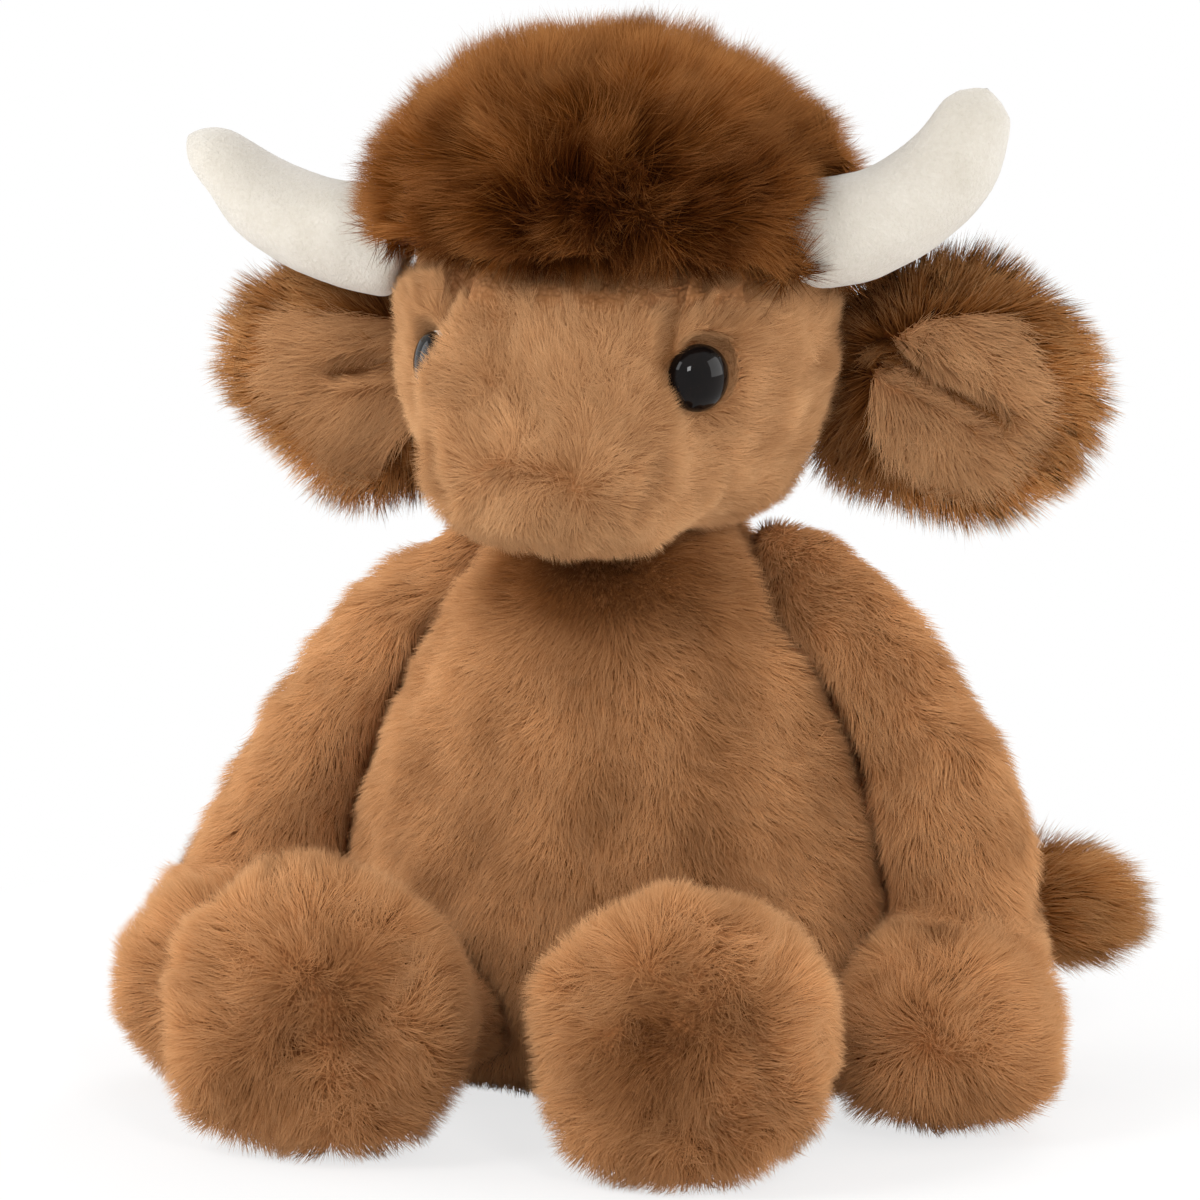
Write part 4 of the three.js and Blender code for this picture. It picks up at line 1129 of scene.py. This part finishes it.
def dome(name, side):
    """A domed eye, turned about its own axis."""
    rim = ((0.7, -1.6), (0.2, -0.6), (0, 0.2), (0.05, DOME_BASE))  # how far in, and how high
    outline = [(EYE_RADIUS - inward, height) for inward, height in rim]
    for i in range(1, DOME_RINGS + 1):
        angle = i / DOME_RINGS * math.pi / 2
        height = DOME_BASE + (EYE_HEIGHT - DOME_BASE) * math.sin(angle)
        outline.append((EYE_RADIUS * math.cos(angle), height))
    steps = DOME_STEPS
    points, faces = [], []
    for radius, height in outline[:-1]:
        for i in range(steps):
            angle = 2 * math.pi * i / steps
            points.append((radius * math.cos(angle), radius * math.sin(angle), height))
    for ring in range(len(outline) - 2):
        for i in range(steps):
            a, b = ring * steps + i, ring * steps + (i + 1) % steps
            faces.append((a, b, b + steps, a + steps))
    top = (len(outline) - 2) * steps
    points.append((0, 0, EYE_HEIGHT))
    faces += [(top + i, top + (i + 1) % steps, len(points) - 1) for i in range(steps)]
    faces.append(tuple(reversed(range(steps))))
    mesh = bpy.data.meshes.new(name)
    mesh.from_pydata([Vector(p) * MM for p in points], [], faces)
    turn = Vector((0, 0, 1)).rotation_difference(Vector(eye_facing[side])).to_matrix().to_4x4()
    mesh.transform(Matrix.Translation(Vector(eyes[side]) * MM) @ turn)
    for polygon in mesh.polygons:
        polygon.use_smooth = len(polygon.vertices) < steps
    return link(name, mesh)


eye_gloss = eye_material()
for name, side in SIDES:
    piece = dome(f"{name}_eye_dome", side)
    piece.data.materials.append(eye_gloss)
    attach(piece, "head")
    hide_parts(f"{name}_eye")


# Hidden pieces

WEAVE_SCALE = 420.0
EDGE_WIDTH = 0.8


def plain_cloth(name, dark, light):
    """A plain weave."""
    nodes = new_material(name)
    sockets = {"Vector": nodes.place(), "Scale": WEAVE_SCALE, "Distortion": 0.4}
    threads = [nodes.add("ShaderNodeTexWave", sockets, bands_direction=way).outputs["Fac"] for way in "XY"]
    both = nodes.pair("MULTIPLY", *threads)
    colour = nodes.colours(both, [(0.1, dark), (0.8, light)])
    return nodes.finish(colour, bump=both, bump_height=0.0003, Roughness=0.9)


def washer_material():
    nodes = new_material("washer_plastic")
    mottle = nodes.noise(nodes.place(), 300.0, 2.0)
    colour = nodes.colours(mottle, [(0.3, (222, 220, 212)), (0.7, (234, 232, 226))])
    return nodes.finish(colour, Roughness=0.45)


seat_cloth = plain_cloth("seat_weave", (110, 74, 46), (160, 116, 80))
bag_cloth = plain_cloth("bag_weave", (200, 190, 170), (232, 226, 212))
washer = washer_material()


def rounded(name, solid, body, material):
    """A copy of a solid with rounded edges, which stands for it."""
    mesh = frame["nodes"][solid].data.copy()
    mesh.materials.clear()
    mesh.materials.append(material)
    piece = link(name, mesh)
    weld = piece.modifiers.new("weld", "WELD")
    weld.merge_threshold = 0.01 * MM
    bevel = piece.modifiers.new("bevel", "BEVEL")
    bevel.width = EDGE_WIDTH * MM
    bevel.segments = 3
    bevel.angle_limit = math.radians(50)
    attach(piece, body)
    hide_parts(solid)
    return piece


rounded("seat_panel_cloth", "seat_panel", "torso", seat_cloth)
rounded("pellet_bag_cloth", "pellet_bag", "torso", bag_cloth)
for name, _ in SIDES:
    solid = frame["nodes"][f"{name}_eye_washer"]
    solid.data.materials.clear()
    solid.data.materials.append(washer)


# Floor, light and camera

FADE_START, FADE_END = 0.1, 0.26  # metres from the middle, between which the shadow on the floor ends
FLOOR_GLOW = 0.74  # the least share of the floor that shines white
FLOOR_HALF = 30.0
WORLD_LIGHT = 0.44
WHITE = (1, 1, 1, 1)
AIM = (0, 0, 0.13)
LAMPS = (  # name, place, size and power
    ("key_light", (-0.9, -1.5, 1.5), 0.9, 18),
    ("eye_light", (1.1, -1.7, 1.05), 0.44, 16),
    ("back_light", (0.3, 1.8, 1.6), 1.4, 18),
    ("left_light", (1.9, 0.6, 0.5), 1.3, 19),
    ("right_light", (-1.9, -0.2, 0.7), 1.3, 20),
)


def floor_material():
    """White, with the object's shadow near it, and pure white to the camera further off."""
    nodes = new_material("floor_white")
    distance = nodes.add("ShaderNodeVectorMath", {0: nodes.place()}, operation="LENGTH").outputs["Value"]
    fade = {"Value": distance, "From Min": FADE_START, "From Max": FADE_END}
    far = nodes.add("ShaderNodeMapRange", fade).outputs["Result"]
    factor = nodes.pair("MULTIPLY", nodes.pair("MAXIMUM", far, FLOOR_GLOW), nodes.seen())
    matt = nodes.add("ShaderNodeBsdfDiffuse", {"Color": WHITE}).outputs["BSDF"]
    white = nodes.add("ShaderNodeEmission", {"Color": WHITE, "Strength": 1.0}).outputs["Emission"]
    mixed = nodes.add("ShaderNodeMixShader", {0: factor, 1: matt, 2: white}).outputs["Shader"]
    nodes.add("ShaderNodeOutputMaterial", {"Surface": mixed})
    return nodes.owner


def studio_world():
    """White where it is seen, and dimmer where it lights the object."""
    nodes = Nodes(bpy.data.worlds.new("studio"))
    light = {"Value": nodes.seen(), "To Min": WORLD_LIGHT, "To Max": 1.0}
    strength = nodes.add("ShaderNodeMapRange", light).outputs["Result"]
    background = nodes.add("ShaderNodeBackground", {"Color": WHITE, "Strength": strength})
    nodes.add("ShaderNodeOutputWorld", {"Surface": background.outputs["Background"]})
    return nodes.owner


corners = [(-1, -1), (1, -1), (1, 1), (-1, 1)]
floor_mesh = bpy.data.meshes.new("floor")
floor_mesh.from_pydata([(x * FLOOR_HALF, y * FLOOR_HALF, 0) for x, y in corners], [], [(0, 1, 2, 3)])
floor_mesh.materials.append(floor_material())
floor = link("floor", floor_mesh)
bpy.context.scene.world = studio_world()

for name, place, size, power in LAMPS:
    light = bpy.data.lights.new(name, "AREA")
    light.shape = "SQUARE"
    light.size = size
    light.energy = power
    lamp = link(name, light)
    lamp.location = place
    lamp.rotation_mode = "QUATERNION"
    lamp.rotation_quaternion = (Vector(AIM) - Vector(place)).to_track_quat("-Z", "Y")

CAMERA_AZIMUTH, CAMERA_ELEVATION = math.radians(19.5), math.radians(12)
CAMERA_DISTANCE = 5.0
CAMERA_TARGET = Vector((-0.018, 0.019, 0.113))
PHOTO_WIDTH, PIXEL = 1200, 0.242 * MM  # of the photo, in pixels, and of a pixel on the toy
SENSOR = 36.0
level = math.cos(CAMERA_ELEVATION)
back = Vector(
    (math.sin(CAMERA_AZIMUTH) * level, -math.cos(CAMERA_AZIMUTH) * level, math.sin(CAMERA_ELEVATION))
)
camera_data = bpy.data.cameras.new("camera")
camera_data.sensor_width = SENSOR
camera_data.lens = SENSOR * CAMERA_DISTANCE / (PHOTO_WIDTH * PIXEL)
camera_data.clip_start = 0.1
camera_data.clip_end = 60.0
camera = link("camera", camera_data)
camera.location = CAMERA_TARGET + back * CAMERA_DISTANCE
camera.rotation_mode = "QUATERNION"
camera.rotation_quaternion = (-back).to_track_quat("-Z", "Y")
bpy.context.scene.camera = camera
bpy.context.scene.view_settings.view_transform = "Standard"
